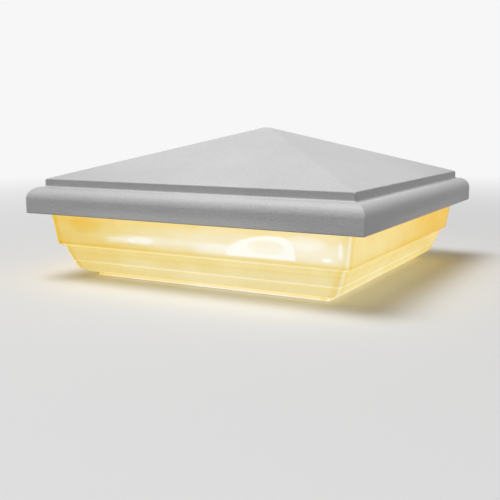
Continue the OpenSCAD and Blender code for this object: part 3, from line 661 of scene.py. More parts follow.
# the rates are shares of the thickness of a track; each track is a step thicker than the last, so that
# no two tops lie in one plane
driver = {
    "top": 27.1, "track": 0.035, "step": 0.003,
    "edgeRate": 0.4, "discRate": 2.3, "padRate": 2.2, "chipRate": 2,
    "padHalf": 0.55, "padOver": 0.12, "chipEdge": 0.07, "chipShort": 0.1, "chipSlim": 0.02,
    "tinLong": 0.4, "tinOver": 0.03,
    # pads: x, y, radius
    "pads": fourCorners(14, 17, 2.9) + [(-4, -17.5, 1.7), (4, -17.5, 1.7)],
    # tracks: corners of straight runs, half width
    "tracks": [
        ((-4, -17.5), (-4, -14.4), 0.7), ((-4, -14.4), (-9.5, -14.4), 0.7), ((4, -17.5), (4, -12), 0.7),
        ((-9.5, -7), (-9.5, -4), 0.6), ((-6, 7.2), (-11.5, 7.2), 0.7), ((-11.5, 7.2), (-11.5, 3.2), 0.7),
        ((6, 7.2), (11.5, 7.2), 0.7), ((11.5, 7.2), (11.5, 3.6), 0.7), ((11.5, -5.4), (11.5, -12), 0.6),
        ((11.5, -12), (6.6, -12), 0.35), ((5.6, -8.2), (9.4, -8.2), 0.25), ((-1.2, -4.6), (-5.0, -4.6), 0.3),
        ((-1.2, 1.2), (-1.2, -4.6), 0.3),
    ],
    # small parts: middle, half sizes, height, kind
    "chips": [
        ((8.9, -9.8), (1.6, 0.8), 0.55, "resistor"), ((8.9, -14.4), (1.6, 0.8), 0.55, "resistor"),
        ((-1.2, -1.0), (0.8, 1.6), 0.55, "resistor"), ((2.0, -2.6), (1.0, 0.65), 0.8, "ceramic"),
        ((5.0, -2.6), (1.0, 0.65), 0.8, "ceramic"), ((0.0, -14.6), (1.6, 0.9), 1.1, "ceramic"),
        ((-5.4, -5.6), (1.0, 0.65), 0.8, "ceramic"),
    ],
}
chips = {
    "bridge_rectifier": {"long": 4.8, "deep": 6.0, "high": 2.3, "legs": 2, "pitch": 2.8, "turn": 90,
                         "at": (-9.5, -10.5)},
    "driver_ic": {"long": 5.0, "deep": 4.0, "high": 1.5, "legs": 4, "pitch": 1.27, "turn": 0,
                  "at": (2.5, -8.5)},
}
chipMould = {
    "raise": 0.2, "taper": 0.94, "edge": 0.1, "mark": 0.32, "markDeep": 0.1, "markFoot": 0.8, "markIn": 0.85,
    "legWide": 0.5, "legThick": 0.2, "legOut": 1.1, "legIn": 0.1, "legEdge": 0.05,
    "bendUnder": (0.35, 0.42, 0.45), "bendOver": (0.66, 0.6, 0.45), "bendDrop": 0.6,
}
# the profiles are offsets from the can's radius, in height from its foot, and for the lid from its top
capacitor = {
    "at": (-11.5, -0.5), "radius": 4.0, "high": 10.0, "shoulder": 0.45, "lidDeep": 0.2, "middle": 0.3,
    "crimp": [(-0.25, 0.55), (0.0, 0.75), (0.0, 1.05), (-0.12, 1.25), (-0.42, 1.5), (-0.42, 1.65),
              (-0.12, 1.9), (0.0, 2.1)],
    "lid": [(-0.62, -0.03), (-0.8, -0.2)],
    "foot": [(-0.15, 0.0), (-0.05, 0.1), (-0.05, 0.5), (-0.35, 0.62)],
    "scoreHalf": 2.1, "scoreWide": 0.07, "scoreDeep": 0.09, "scoreOver": 0.5,
}
# cup, drum and loops: profiles whose heights are counted from the shell's top
inductor = {
    "at": (11.5, -1.0), "half": 4.0, "corner": 1.6, "high": 4.5, "edge": 0.28,
    "cup": [(2.57, -1.0), (2.62, -0.1), (2.82, 0.1)],
    "drum": [(2.2, -1.12), (2.2, -0.27), (2.05, -0.12), (0.6, -0.12), (0.5, -0.27)],
    "loops": [(2.54, -1.07), (2.54, -0.72), (2.42, -0.62), (2.3, -0.62), (2.25, -0.72)],
}
terminal = {
    "y": 7.2, "pitch": 5.0, "wellFloor": 33.1, "head": 1.5, "headHigh": 1.5, "edge": 0.12,
    "slotHalf": 1.8, "slotWide": 0.25, "slotTop": 1.9,
}


def makeDriverTracks(d):
    parts = []
    for i, ((ax, ay), (bx, by), half) in enumerate(d["tracks"]):
        low = (min(ax, bx) - half, min(ay, by) - half, d["top"])
        high = (max(ax, bx) + half, max(ay, by) + half, d["top"] + d["track"] + i * d["step"])
        parts.append(addBox("track", low, high, d["track"] * d["edgeRate"], 1))
    return joinPieces("driverTracks", parts)


def boxesAtEnds(name, place, halves, inner, outer, beside, heights, edge, segments=2):
    # boxes at both ends of a small part, which lies along its longer half size: inner and outer are how far
    # they reach from that size, beside how far they stand out over the shorter one
    parts = []
    long, short = max(halves), min(halves) + beside
    for side in (-1, 1):
        near, far = sorted((side * (long + inner), side * (long + outer)))
        spans = [(near, far), (-short, short)]
        if halves[1] >= halves[0]:
            spans.reverse()
        low, high = [[place[i] + spans[i][end] for i in (0, 1)] + [heights[end]] for end in (0, 1)]
        parts.append(addBox(name, low, high, edge, segments))
    return parts


def makeDriverPads(d):
    low, disc, edge = d["top"], d["track"] * d["discRate"], d["edgeRate"]
    parts = []
    for x, y, radius in d["pads"]:
        profile = [(radius, low), (radius, low + disc * (1 - edge)), (radius - disc * edge, low + disc)]
        parts.append(raiseProfile("disc", profile, 32, (x, y), 60))
    heights = (low, low + d["track"] * d["padRate"])
    reach = (-d["padHalf"], d["padHalf"], d["padOver"])
    for chip in d["chips"]:
        parts += boxesAtEnds("pad", *chip[:2], *reach, heights, d["track"] * edge, 1)
    return joinPieces("driverPads", parts)


def makeSmallParts(d):
    # the small resistors and ceramic capacitors, and their tinned ends
    bodies = {"resistor": [], "ceramic": []}
    ends = []
    floor = d["top"] + d["track"] * d["chipRate"]
    edge = d["chipEdge"]
    for (x, y), halves, high, kind in d["chips"]:
        wide, deep, top = halves[0] - d["chipShort"], halves[1] - d["chipSlim"], floor + high
        body = addBox("body", (x - wide, y - deep, floor), (x + wide, y + deep, top), edge)
        bodies[kind].append(body)
        ends += boxesAtEnds("end", (x, y), halves, -d["tinLong"], 0, 0, (floor, top + d["tinOver"]), edge)
    joined = [joinPieces(kind + "Bodies", parts) for kind, parts in bodies.items()]
    return [*joined, joinPieces("smallPartEnds", ends)]


def makeChipBody(name, c, m):
    low, wide, deep = driver["top"] + m["raise"], c["long"] / 2, c["deep"] / 2
    top = low + c["high"]
    body = addBox(name, (-wide, -deep, low), (wide, deep, top))
    # the mould's draft: both halves get narrower away from the legs
    editAll(body)
    bpy.ops.mesh.bisect(plane_co=(0, 0, (low + c["high"] / 2) * mm), plane_no=(0, 0, 1))
    for side in (-1, 1):
        selectWhere(body, "FACE", lambda face: face.normal.z * side > 0.9)
        bpy.ops.transform.resize(value=(m["taper"], m["taper"], 1), center_override=(0, 0, low * mm))
    leaveEdit()
    softenEdges(body, m["edge"], 2, 25)
    ring = [(m["mark"] * m["markFoot"], top - m["markDeep"]), (m["mark"], top + m["raise"])]
    cutWith(body, raiseProfile("mark", ring, 24, (m["markIn"] - wide, m["markIn"] - deep)))
    shadeFaces(body, 30)
    turnPiece(body, z=c["turn"])
    movePiece(body, *c["at"])
    return body


def makeLegs(name, c, m):
    low, half, t = driver["top"], c["deep"] / 2, m["legThick"]
    shoulder, root, tip = low + c["high"] / 2, half - m["legIn"], half + m["legOut"]
    under, over = [[half + v for v in m[key]] for key in ("bendUnder", "bendOver")]
    outline = [(root, shoulder), (under[0], shoulder), (under[1], low + t), (under[2], low)]
    outline += [(tip, low), (tip, low + t), (over[0], low + t), (over[1], shoulder + t * m["bendDrop"])]
    outline += [(over[2], shoulder + t), (root, shoulder + t)]
    leg = pushOutline("leg", [(-m["legWide"] / 2, y, z) for y, z in outline], (m["legWide"], 0, 0))
    softenEdges(leg, m["legEdge"], 2, 25)
    places = [((i - (c["legs"] - 1) / 2) * c["pitch"], 0, 0) for i in range(c["legs"])]
    legs = repeatPiece(leg, name, places, (0, 180))
    turnPiece(legs, z=c["turn"])
    movePiece(legs, *c["at"])
    return legs


def makeCapacitor(c):
    # a rolled can: rubber foot, crimped neck, rounded shoulder and a scored lid
    low, r, s = driver["top"], c["radius"], c["shoulder"]
    top, lid = low + c["high"], low + c["high"] - c["lidDeep"]
    can = [(r + x, low + z) for x, z in c["crimp"]] + arcPoints(r - s, top - s, s, s, 0, 90, 6)
    can += [(r + x, top + z) for x, z in c["lid"]] + [(c["middle"], lid)]
    body = raiseProfile("canBody", can, 48, c["at"])
    half, wide = c["scoreHalf"], c["scoreWide"]
    for turn in (0, 60, 120):
        score = addBox("score", (-half, -wide, lid - c["scoreDeep"]), (half, wide, lid + c["scoreOver"]))
        turnPiece(score, z=turn)
        movePiece(score, *c["at"])
        cutWith(body, score)
    shadeFaces(body, 35)
    foot = raiseProfile("canFoot", [(r + x, low + z) for x, z in c["foot"]], 48, c["at"], 35)
    return body, foot


def makeInductor(i):
    # a ferrite shell with cut corners round a drum, and the winding just visible in the gap
    low, h, c = driver["top"], i["half"], i["half"] - i["corner"]
    ring = [(-h, -c), (-c, -h), (c, -h), (h, -c), (h, c), (c, h), (-c, h), (-h, c)]
    x, y = i["at"]
    shell = pushOutline("inductorShell", [(x + a, y + b, low) for a, b in ring], (0, 0, i["high"]))
    softenEdges(shell, i["edge"])

    def turned(name, shade=None):
        profile = [(half, low + i["high"] + z) for half, z in i[name]]
        return raiseProfile(name, profile, 40, i["at"], shade)

    cutWith(shell, turned("cup"))
    shadeFaces(shell, 35)
    drum, loops = turned("drum", 35), turned("loops", 35)
    return joinPieces("inductorCore", [shell, drum]), loops


def makeTerminalScrews(t):
    high, half = t["headHigh"], t["pitch"] / 2
    profile = [(t["head"], 0), (t["head"], high - t["edge"]), (t["head"] - t["edge"], high)]
    head = raiseProfile("clampScrew", profile, 32)
    long, wide = t["slotHalf"], t["slotWide"]
    cutWith(head, addBox("slot", (-long, -wide, high / 2), (long, wide, t["slotTop"])))
    shadeFaces(head, 35)
    return repeatPiece(head, "clampScrews", [(x, t["y"], t["wellFloor"]) for x in (-half, half)])


driverTracks = makeDriverTracks(driver)
driverPads = makeDriverPads(driver)
resistorBodies, ceramicBodies, smallPartEnds = makeSmallParts(driver)
chipBodies = {name: makeChipBody(name + "_body", values, chipMould) for name, values in chips.items()}
chipLegs = {name: makeLegs(name + "_legs", values, chipMould) for name, values in chips.items()}
canBody, canFoot = makeCapacitor(capacitor)
inductorCore, inductorLoops = makeInductor(inductor)
clampScrews = makeTerminalScrews(terminal)
print("driver modelled")


# node: rounding, steps, body, finish, slot
roundedNodes = {
    "post_gasket": (0.35, 3, "base", "foam", "foam"),
    "roof_gasket": (0.25, 3, "cover", "foam", "foam"),
    "cable_grommet": (0.3, 3, "base", "grommetRubber", "grommet_rubber"),
    "base_plate": (0.3, 3, "base", "foldedAluminium", "aluminium"),
    "light_core": (0.35, 3, "base", "foldedAluminium", "aluminium"),
    "driver_standoffs": (0.15, 2, "base", "foldedAluminium", "aluminium"),
    **{"led_board_" + side: (0.12, 2, "base", "solderMask", "board_white") for side in sides},
    "driver_board": (0.12, 2, "base", "boardGreen", "board_green"),
    "terminal_block": (0.25, 2, "base", "terminalGreen", "terminal_green"),
    "roof_clip_left": (0.1, 2, "base", "springSteel", "spring_steel"),
    "roof_clip_right": (0.1, 2, "base", "springSteel", "spring_steel"),
    "reflector": (0.3, 3, "cover", "reflectorEnamel", "reflector_white"),
}
roundedPieces = {node: roundedCopy(node, node + "_rounded", *row[:2]) for node, row in roundedNodes.items()}
print("rounded copies made")


def addNode(tree, kind, inputs=None, **settings):
    node = tree.nodes.new(kind)
    for key, value in settings.items():
        setattr(node, key, value)
    for key, value in (inputs or {}).items():
        if isinstance(value, bpy.types.NodeSocket):
            tree.links.new(value, node.inputs[key])
        else:
            node.inputs[key].default_value = value
    return node


def calculate(tree, operation, first, second=None, third=None, clamp=False):
    inputs = {i: v for i, v in enumerate((first, second, third)) if v is not None}
    return addNode(tree, "ShaderNodeMath", inputs, operation=operation, use_clamp=clamp).outputs[0]


def times(tree, first, *others):
    for other in others:
        first = calculate(tree, "MULTIPLY", first, other)
    return first


def distanceFrom(tree, value, middle):
    return calculate(tree, "ABSOLUTE", calculate(tree, "SUBTRACT", value, middle))


def spread(tree, value, fromLow, fromHigh, toLow=0.0, toHigh=1.0, smooth=False):
    # maps a value from one range to another, held at both ends
    inputs = {"Value": value, "From Min": fromLow, "From Max": fromHigh, "To Min": toLow, "To Max": toHigh}
    kind = "SMOOTHSTEP" if smooth else "LINEAR"
    return addNode(tree, "ShaderNodeMapRange", inputs, interpolation_type=kind).outputs[0]


def mixColours(tree, factor, first, second):
    first, second = [(*colour, 1) if isinstance(colour, tuple) else colour for colour in (first, second)]
    return addNode(tree, "ShaderNodeMix", {0: factor, 6: first, 7: second}, data_type="RGBA").outputs[2]


def colourRamp(tree, factor, stops, interpolation="LINEAR"):
    ramp = addNode(tree, "ShaderNodeValToRGB", {"Fac": factor})
    ramp.color_ramp.interpolation = interpolation
    elements = ramp.color_ramp.elements
    while len(elements) < len(stops):
        elements.new(1.0)
    for element, (position, colour) in zip(elements, stops):
        element.position = position
        element.color = (*colour, 1) if isinstance(colour, tuple) else (colour, colour, colour, 1)
    return ramp.outputs["Color"]


def startGroup(name, inputs, outputs):
    tree = bpy.data.node_groups.new(name, "ShaderNodeTree")
    for title, value in inputs:
        kind = "NodeSocketVector" if isinstance(value, tuple) else "NodeSocketFloat"
        tree.interface.new_socket(name=title, in_out="INPUT", socket_type=kind).default_value = value
    for title in outputs:
        tree.interface.new_socket(name=title, in_out="OUTPUT", socket_type="NodeSocketFloat")
    return tree, addNode(tree, "NodeGroupInput").outputs, addNode(tree, "NodeGroupOutput")


def objectPlace(tree):
    return addNode(tree, "ShaderNodeTexCoord").outputs["Object"]


def faceNormal(tree):
    return addNode(tree, "ShaderNodeNewGeometry").outputs["Normal"]


def splitVector(tree, vector):
    return addNode(tree, "ShaderNodeSeparateXYZ", {0: vector}).outputs


def addNoise(tree, place, scale, detail, roughness=0.5):
    inputs = {"Vector": place, "Scale": scale, "Detail": detail, "Roughness": roughness}
    return addNode(tree, "ShaderNodeTexNoise", inputs).outputs


# spans are the part of a noise that is spread from 0 to 1
surface = {"fineDetail": 3.0, "fineSpan": (0.3, 0.7), "slowDetail": 4.0, "slowSpan": (0.32, 0.68)}
wear = {
    "facingUp": (0.3, 1.0), "speckle": (260.0, 5.0, 0.7), "speckleSpan": (0.42, 0.7),
    "bend": (30.0, 1.0), "bendShare": 0.04, "lineWide": 0.018, "gaps": (55.0, 2.0), "gapSpan": (0.55, 0.62),
}


def makeGrainGroup(s):
    # fine grain of a coat or a moulded skin, with slow clouding over it
    inputs = [("Grain per metre", 2200.0), ("Cloud per metre", 40.0), ("Stretch", (1.0, 1.0, 1.0))]
    tree, given, out = startGroup("surfaceGrain", inputs, ["Grain", "Cloud"])
    stretched = addNode(
        tree, "ShaderNodeVectorMath", {0: objectPlace(tree), 1: given["Stretch"]}, operation="MULTIPLY"
    ).outputs[0]
    fine = addNoise(tree, stretched, given["Grain per metre"], s["fineDetail"])
    slow = addNoise(tree, stretched, given["Cloud per metre"], s["slowDetail"])
    tree.links.new(spread(tree, fine["Fac"], *s["fineSpan"]), out.inputs["Grain"])
    tree.links.new(spread(tree, slow["Fac"], *s["slowSpan"]), out.inputs["Cloud"])
    return tree


def makeWearGroup(w):
    # dust that settles on faces that look up, and thin scratches
    inputs = [("Dust", 0.3), ("Scratches", 0.3), ("Scratch per metre", 90.0)]
    tree, given, out = startGroup("dustAndScratches", inputs, ["Dust", "Scratches"])
    place = objectPlace(tree)
    up = splitVector(tree, faceNormal(tree))[2]
    speckle = spread(tree, addNoise(tree, place, *w["speckle"])["Fac"], *w["speckleSpan"])
    dust = times(tree, spread(tree, up, *w["facingUp"]), speckle, given["Dust"])
    tree.links.new(dust, out.inputs["Dust"])
    bent = mixColours(tree, w["bendShare"], place, addNoise(tree, place, *w["bend"])["Color"])
    inputs = {"Vector": bent, "Scale": given["Scratch per metre"]}
    cells = addNode(tree, "ShaderNodeTexVoronoi", inputs, feature="DISTANCE_TO_EDGE").outputs
    line = spread(tree, cells["Distance"], 0.0, w["lineWide"], 1.0, 0.0)
    gaps = spread(tree, addNoise(tree, place, *w["gaps"])["Fac"], *w["gapSpan"])
    tree.links.new(times(tree, line, gaps, given["Scratches"]), out.inputs["Scratches"])
    return tree


grainGroup = makeGrainGroup(surface)
wearGroup = makeWearGroup(wear)


def startMaterial(name):
    material = bpy.data.materials.new(name)
    material.use_nodes = True
    tree = material.node_tree
    return material, tree, tree.nodes["Principled BSDF"]


def placeGrain(tree, grain, cloud, stretch=(1.0, 1.0, 1.0)):
    inputs = {"Grain per metre": grain, "Cloud per metre": cloud, "Stretch": stretch}
    return addNode(tree, "ShaderNodeGroup", inputs, node_tree=grainGroup).outputs


def linkBump(tree, shader, height, strength, depth):
    bump = addNode(tree, "ShaderNodeBump", {"Height": height, "Strength": strength, "Distance": depth * mm})
    tree.links.new(bump.outputs["Normal"], shader.inputs["Normal"])


finishKeys = ("dark", "light", "smooth", "rough", "grain", "cloud")
# what holds for a finish where its own dictionary says nothing else
plainFinish = {
    "stretch": (1.0, 1.0, 1.0), "grainShade": 0.35, "dust": 0.15, "dustColour": (0.42, 0.38, 0.32),
    "dustRough": 0.3, "scratches": 0.0, "scratchScale": 90.0, "metal": 0.0, "bump": 0.3, "depth": 0.03,
}


def makeFinish(name, own, extra=None):
    # a finish from its dictionary: two shades, two roughnesses, grain, dust and scratches;
    # extra adds more to its colour, which for the roof is painted shade and painted light
    f = {**plainFinish, **own}
    material, tree, shader = startMaterial(name)
    grain = placeGrain(tree, f["grain"], f["cloud"], f["stretch"])
    amounts = {"Dust": f["dust"], "Scratches": f["scratches"], "Scratch per metre": f["scratchScale"]}
    worn = addNode(tree, "ShaderNodeGroup", amounts, node_tree=wearGroup).outputs
    shade = calculate(tree, "MULTIPLY_ADD", grain["Grain"], f["grainShade"], 0.0)
    shade = calculate(tree, "MULTIPLY_ADD", grain["Cloud"], 1 - f["grainShade"], shade)
    colour = mixColours(tree, shade, f["dark"], f["light"])
    if extra:
        colour = extra(tree, colour, f)
    colour = mixColours(tree, worn["Scratches"], colour, f["light"])
    tree.links.new(mixColours(tree, worn["Dust"], colour, f["dustColour"]), shader.inputs["Base Color"])
    rough = spread(tree, grain["Cloud"], 0.0, 1.0, f["smooth"], f["rough"])
    rough = calculate(tree, "ADD", rough, times(tree, worn["Dust"], f["dustRough"]), clamp=True)
    tree.links.new(rough, shader.inputs["Roughness"])
    shader.inputs["Metallic"].default_value = f["metal"]
    linkBump(tree, shader, grain["Grain"], f["bump"], f["depth"])
    return material


powderCoat = {
    "dark": (0.565, 0.565, 0.57), "light": (0.715, 0.715, 0.72), "smooth": 0.42, "rough": 0.56,
    "grain": 1250.0, "cloud": 34.0, "grainShade": 0.55, "bump": 0.5, "depth": 0.08, "dust": 0.06,
    # painted shade in the recess under the eaves: its colour, its heights and how much of it shows
    "paintedRecessShade": (0.40, 0.40, 0.395), "recessShadeLow": 26.6, "recessShadeHigh": 30.6, "recessShadeShare": 0.55, "recessShadeCore": 0.7,
    # painted light from the glowing lens below, on the lower edge of the rim, strongest in the middle of each
    # side
    "paintedRimLight": (0.88, 0.88, 0.875), "rimLightLow": 17.3, "rimLightHigh": 20.6, "rimLightShare": 0.7,
    # painted shade on the faces that look up, towards two opposite corners
    "paintedCornerShade": (0.44, 0.44, 0.44), "cornerShadeShare": 0.6,
    "steepness": (0.75, 0.3), "rimLightEnds": (75.0, 20.0), "cornerShadeFrom": (50.0, 150.0), "cornerShadeLevel": (0.5, 0.9),
}


def shadeRoof(tree, colour, f):
    # painted shade in the recess under the eaves, and painted light along the lower edge of the rim
    x, y, z = splitVector(tree, objectPlace(tree))
    level = splitVector(tree, faceNormal(tree))[2]
    upright = spread(tree, calculate(tree, "ABSOLUTE", level), *f["steepness"])
    # painted shade: the upright faces of the step under the eaves are darkened
    off = distanceFrom(tree, z, (f["recessShadeLow"] + f["recessShadeHigh"]) / 2 * mm)
    reach = (f["recessShadeHigh"] - f["recessShadeLow"]) / 2 * mm
    paintedRecessShade = spread(tree, off, reach, reach * f["recessShadeCore"], smooth=True)
    colour = mixColours(tree, times(tree, paintedRecessShade, upright, f["recessShadeShare"]), colour, f["paintedRecessShade"])
    # painted light from the glowing lens below, on the upright faces of the rim's lower edge, strongest in
    # the middle of each side
    least = calculate(tree, "MINIMUM", calculate(tree, "ABSOLUTE", x), calculate(tree, "ABSOLUTE", y))
    pale = spread(tree, z, f["rimLightHigh"] * mm, f["rimLightLow"] * mm, smooth=True)
    ends = spread(tree, least, *toMetres(f["rimLightEnds"]), smooth=True)
    colour = mixColours(tree, times(tree, pale, upright, ends, f["rimLightShare"]), colour, f["paintedRimLight"])
    # painted shade: the faces that look up are darker towards two opposite corners
    across = calculate(tree, "ABSOLUTE", calculate(tree, "ADD", x, y))
    cornerShadeMask = spread(tree, across, *toMetres(f["cornerShadeFrom"]), smooth=True)
    cornerShadeMask = times(tree, cornerShadeMask, spread(tree, level, *f["cornerShadeLevel"]), f["cornerShadeShare"])
    return mixColours(tree, cornerShadeMask, colour, f["paintedCornerShade"])


lensGlow = {
    "deepest": (0.56, 0.30, 0.005), "deep": (0.64, 0.395, 0.015), "cream": (0.70, 0.605, 0.29),
    "hot": (0.84, 0.88, 0.87), "deepAt": 0.17, "creamAt": 0.583, "lowest": -0.2,
    "bodyDark": (0.56, 0.36, 0.02), "bodyLight": (0.63, 0.42, 0.035),
    # glow along each side, from its left to its right end: position from 0 to 1, level; its rise towards two
    # opposite corners is a painted highlight on the glow
    "frontHigh": [(0.0, 0.32), (0.07, 0.24), (0.26, 0.50), (0.42, 0.66), (0.6, 0.71), (0.92, 0.80),
                  (1.0, 0.68)],
    "frontLow": [(0.0, 0.32), (0.14, 0.36), (0.28, 0.44), (0.5, 0.51), (0.8, 0.52), (1.0, 0.46)],
    "sideHigh": [(0.0, 0.50), (0.25, 0.42), (0.44, 0.32), (0.62, 0.10), (0.78, -0.06), (1.0, -0.1)],
    "sideLow": [(0.0, 0.48), (0.25, 0.46), (0.45, 0.44), (0.62, 0.42), (0.8, 0.34), (1.0, 0.20)],
    # how much of it shows at each height
    "amount": [(-12, 1.12), (-5.6, 1.12), (0.0, 1.04), (3.0, 0.84), (3.6, 0.76), (5.0, 0.94), (7.5, 1.05),
               (10.5, 0.98), (15.6, 0.72)],
    # thin light and dark lines along the mouldings: height, half width, change of the level
    "lines": [(-11.7, 0.5, 0.26), (-4.75, 0.42, 0.22), (1.9, 0.55, 0.16), (3.2, 0.7, -0.15),
              (-9.2, 0.9, -0.07), (-0.9, 0.8, -0.05)],
    # a painted highlight on the front and the back, peaking beside the row of lamps towards one corner: its
    # peak, its foot and its reach, how fast it fades each way, how soft its edge and its foot are, and its
    # change of the level
    "highlightSpot": {"along": 36.0, "low": 4.4, "left": 17.8, "right": 10.1, "high": 8.5, "fade": (1.45, 4.5, 2.2),
             "edge": (1.16, 0.80), "ledge": (4.0, 5.0), "change": 0.46},
    # painted highlights and painted shade in soft patches on the front and the back: along and height, half
    # sizes, softness, change
    "patches": [
        (34.4, 8.5, 8.8, 2.8, 0.45, -0.31), (-22, 7.0, 6.5, 1.8, 0.9, 0.22),
        (-20, 7.4, 24, 1.9, 0.9, 0.12), (14, 6.6, 13, 2.2, 0.95, 0.12), (-32, 6.5, 8, 1.3, 0.7, 0.16),
        (-50, 11.5, 9, 3.6, 0.9, -0.13), (58.4, 5.7, 2.0, 0.8, 0.7, 0.26), (50, 11.2, 8, 2.8, 0.9, 0.17),
        (63.6, 9.4, 1.0, 3.2, 0.8, 0.20), (-38, 5.2, 4.0, 0.9, 0.9, 0.10),
    ],
    "patchFade": 2.2, "patchLedge": (4.0, 5.2),
    "outside": (65.5, 66.2), "upperBand": (2.4, 3.0), "mostAmount": 1.25,
    # the mitred corners: a light line on the edge and a darker one beside it where the glow is weak
    "corner": {"line": (1.1, 0.4), "change": 0.13, "from": (0.8, 1.6), "to": (4.2, 2.2), "weak": 0.95,
               "dark": -0.30},
    "clouding": 0.05, "graining": 0.03, "streaking": 0.10, "lineCore": 0.2,
    "fine": (700.0, 75.0), "streaks": (260.0, 42.0, (1.0, 1.0, 3.5)),   # per metre
    "smooth": 0.14, "rough": 0.24, "index": 1.49, "mirror": 0.12, "bump": 0.10, "depth": 0.02,
}


def makeLensMaterial(g, q):
    material, tree, shader = startMaterial("lensAcrylic")
    x, y, z = splitVector(tree, objectPlace(tree))
    # distance along the side, from its left end to its right end as one faces it
    alongFront = times(tree, x, calculate(tree, "SIGN", y), -1.0)
    alongSide = times(tree, y, calculate(tree, "SIGN", x))
    wide, deep = calculate(tree, "ABSOLUTE", x), calculate(tree, "ABSOLUTE", y)
    onFront = calculate(tree, "GREATER_THAN", deep, wide)
    onOutside = spread(tree, calculate(tree, "MAXIMUM", wide, deep), *toMetres(g["outside"]))
    half = q["top"] * mm
    frontPlace = spread(tree, alongFront, -half, half)
    sidePlace = spread(tree, alongSide, -half, half)

    # glow along a side, with a painted highlight rising towards two opposite corners
    def glowAlong(band):
        side = colourRamp(tree, sidePlace, g["side" + band], "B_SPLINE")
        return mixColours(tree, onFront, side, colourRamp(tree, frontPlace, g["front" + band], "B_SPLINE"))

    onHigh = spread(tree, z, *toMetres(g["upperBand"]))
    glowing = mixColours(tree, onHigh, glowAlong("Low"), glowAlong("High"))
    height = spread(tree, z, q["low"] * mm, q["rim"] * mm)
    stops = [((h - q["low"]) / (q["rim"] - q["low"]), amount / g["mostAmount"]) for h, amount in g["amount"]]
    level = times(tree, glowing, times(tree, colourRamp(tree, height, stops), g["mostAmount"]))
    for middle, halfWide, change in g["lines"]:
        off = distanceFrom(tree, z, middle * mm)
        line = spread(tree, off, halfWide * mm, halfWide * g["lineCore"] * mm, smooth=True)
        level = calculate(tree, "MULTIPLY_ADD", line, change, level)

    def offCentre(value, middle, size):
        off = calculate(tree, "DIVIDE", calculate(tree, "SUBTRACT", value, middle * mm), size * mm)
        return calculate(tree, "POWER", calculate(tree, "ABSOLUTE", off), g["patchFade"])

    # painted highlights and painted shade in patches on the front and the back
    for along, middle, halfLong, halfHigh, soft, change in g["patches"]:
        across = offCentre(alongFront, along, halfLong)
        radius = calculate(tree, "ADD", across, offCentre(z, middle, halfHigh))
        patch = spread(tree, radius, 1.0 + soft * 0.5, 1.0 - soft, smooth=True)
        ledge = spread(tree, z, *toMetres(g["patchLedge"]), smooth=True)
        level = calculate(tree, "MULTIPLY_ADD", times(tree, patch, onFront, onOutside, ledge), change, level)
    # the painted highlight tapers to its left end and stops short at its right end
    highlightSpot = g["highlightSpot"]

    def fadeTo(value, start, end, power):
        return calculate(tree, "POWER", spread(tree, value, start, end, 0.0, 2.0), power)

    offPeak = calculate(tree, "SUBTRACT", alongFront, highlightSpot["along"] * mm)
    toLeft = fadeTo(offPeak, 0.0, -2 * highlightSpot["left"] * mm, highlightSpot["fade"][0])
    toRight = fadeTo(offPeak, 0.0, 2 * highlightSpot["right"] * mm, highlightSpot["fade"][1])
    upward = fadeTo(z, highlightSpot["low"] * mm, (highlightSpot["low"] + 2 * highlightSpot["high"]) * mm, highlightSpot["fade"][2])
    reach = calculate(tree, "ADD", calculate(tree, "ADD", toLeft, toRight), upward)
    bright = spread(tree, reach, *highlightSpot["edge"], smooth=True)
    ledge = spread(tree, z, *toMetres(highlightSpot["ledge"]), smooth=True)
    bright = times(tree, bright, onFront, onOutside, ledge)
    level = calculate(tree, "MULTIPLY_ADD", bright, highlightSpot["change"], level)
    corner = g["corner"]
    fromCorner = distanceFrom(tree, wide, deep)
    edge = spread(tree, fromCorner, *toMetres(corner["line"]), smooth=True)
    beside = [spread(tree, fromCorner, *toMetres(corner[key])) for key in ("from", "to")]
    beside = times(tree, *beside, calculate(tree, "SUBTRACT", corner["weak"], glowing))
    level = calculate(tree, "MULTIPLY_ADD", edge, corner["change"], level)
    level = calculate(tree, "MULTIPLY_ADD", beside, corner["dark"], level)
    grain = placeGrain(tree, *g["fine"])
    streak = placeGrain(tree, *g["streaks"])
    clouds = ((grain["Cloud"], "clouding"), (grain["Grain"], "graining"), (streak["Cloud"], "streaking"))
    for value, share in clouds:
        level = calculate(tree, "MULTIPLY_ADD", calculate(tree, "SUBTRACT", value, 0.5), g[share], level)
    shades = [(0.0, g["deepest"]), (g["deepAt"], g["deep"]), (g["creamAt"], g["cream"]), (1.0, g["hot"])]
    glow = colourRamp(tree, spread(tree, level, g["lowest"], 1.0), shades)
    tree.links.new(glow, shader.inputs["Emission Color"])
    shader.inputs["Emission Strength"].default_value = 1.0
    body = mixColours(tree, grain["Cloud"], g["bodyDark"], g["bodyLight"])
    tree.links.new(body, shader.inputs["Base Color"])
    rough = spread(tree, grain["Cloud"], 0.0, 1.0, g["smooth"], g["rough"])
    tree.links.new(rough, shader.inputs["Roughness"])
    shader.inputs["IOR"].default_value = g["index"]
    shader.inputs["Specular IOR Level"].default_value = g["mirror"]
    linkBump(tree, shader, grain["Grain"], g["bump"], g["depth"])
    return material


phosphorGlow = {
    "dark": (0.74, 0.50, 0.10), "light": (0.84, 0.60, 0.16), "glowDark": (0.78, 0.52, 0.14),
    "glowLight": (0.90, 0.68, 0.28), "strength": 0.9, "rough": 0.3, "bump": 0.2, "depth": 0.01,
    "fine": (4200.0, 900.0),
}


def makePhosphorMaterial(g):
    # the lit phosphor, grainy like cured silicone
    material, tree, shader = startMaterial("ledPhosphor")
    grain = placeGrain(tree, *g["fine"])
    tree.links.new(mixColours(tree, grain["Cloud"], g["dark"], g["light"]), shader.inputs["Base Color"])
    glow = mixColours(tree, grain["Grain"], g["glowDark"], g["glowLight"])
    tree.links.new(glow, shader.inputs["Emission Color"])
    shader.inputs["Emission Strength"].default_value = g["strength"]
    shader.inputs["Roughness"].default_value = g["rough"]
    linkBump(tree, shader, grain["Grain"], g["bump"], g["depth"])
    return material


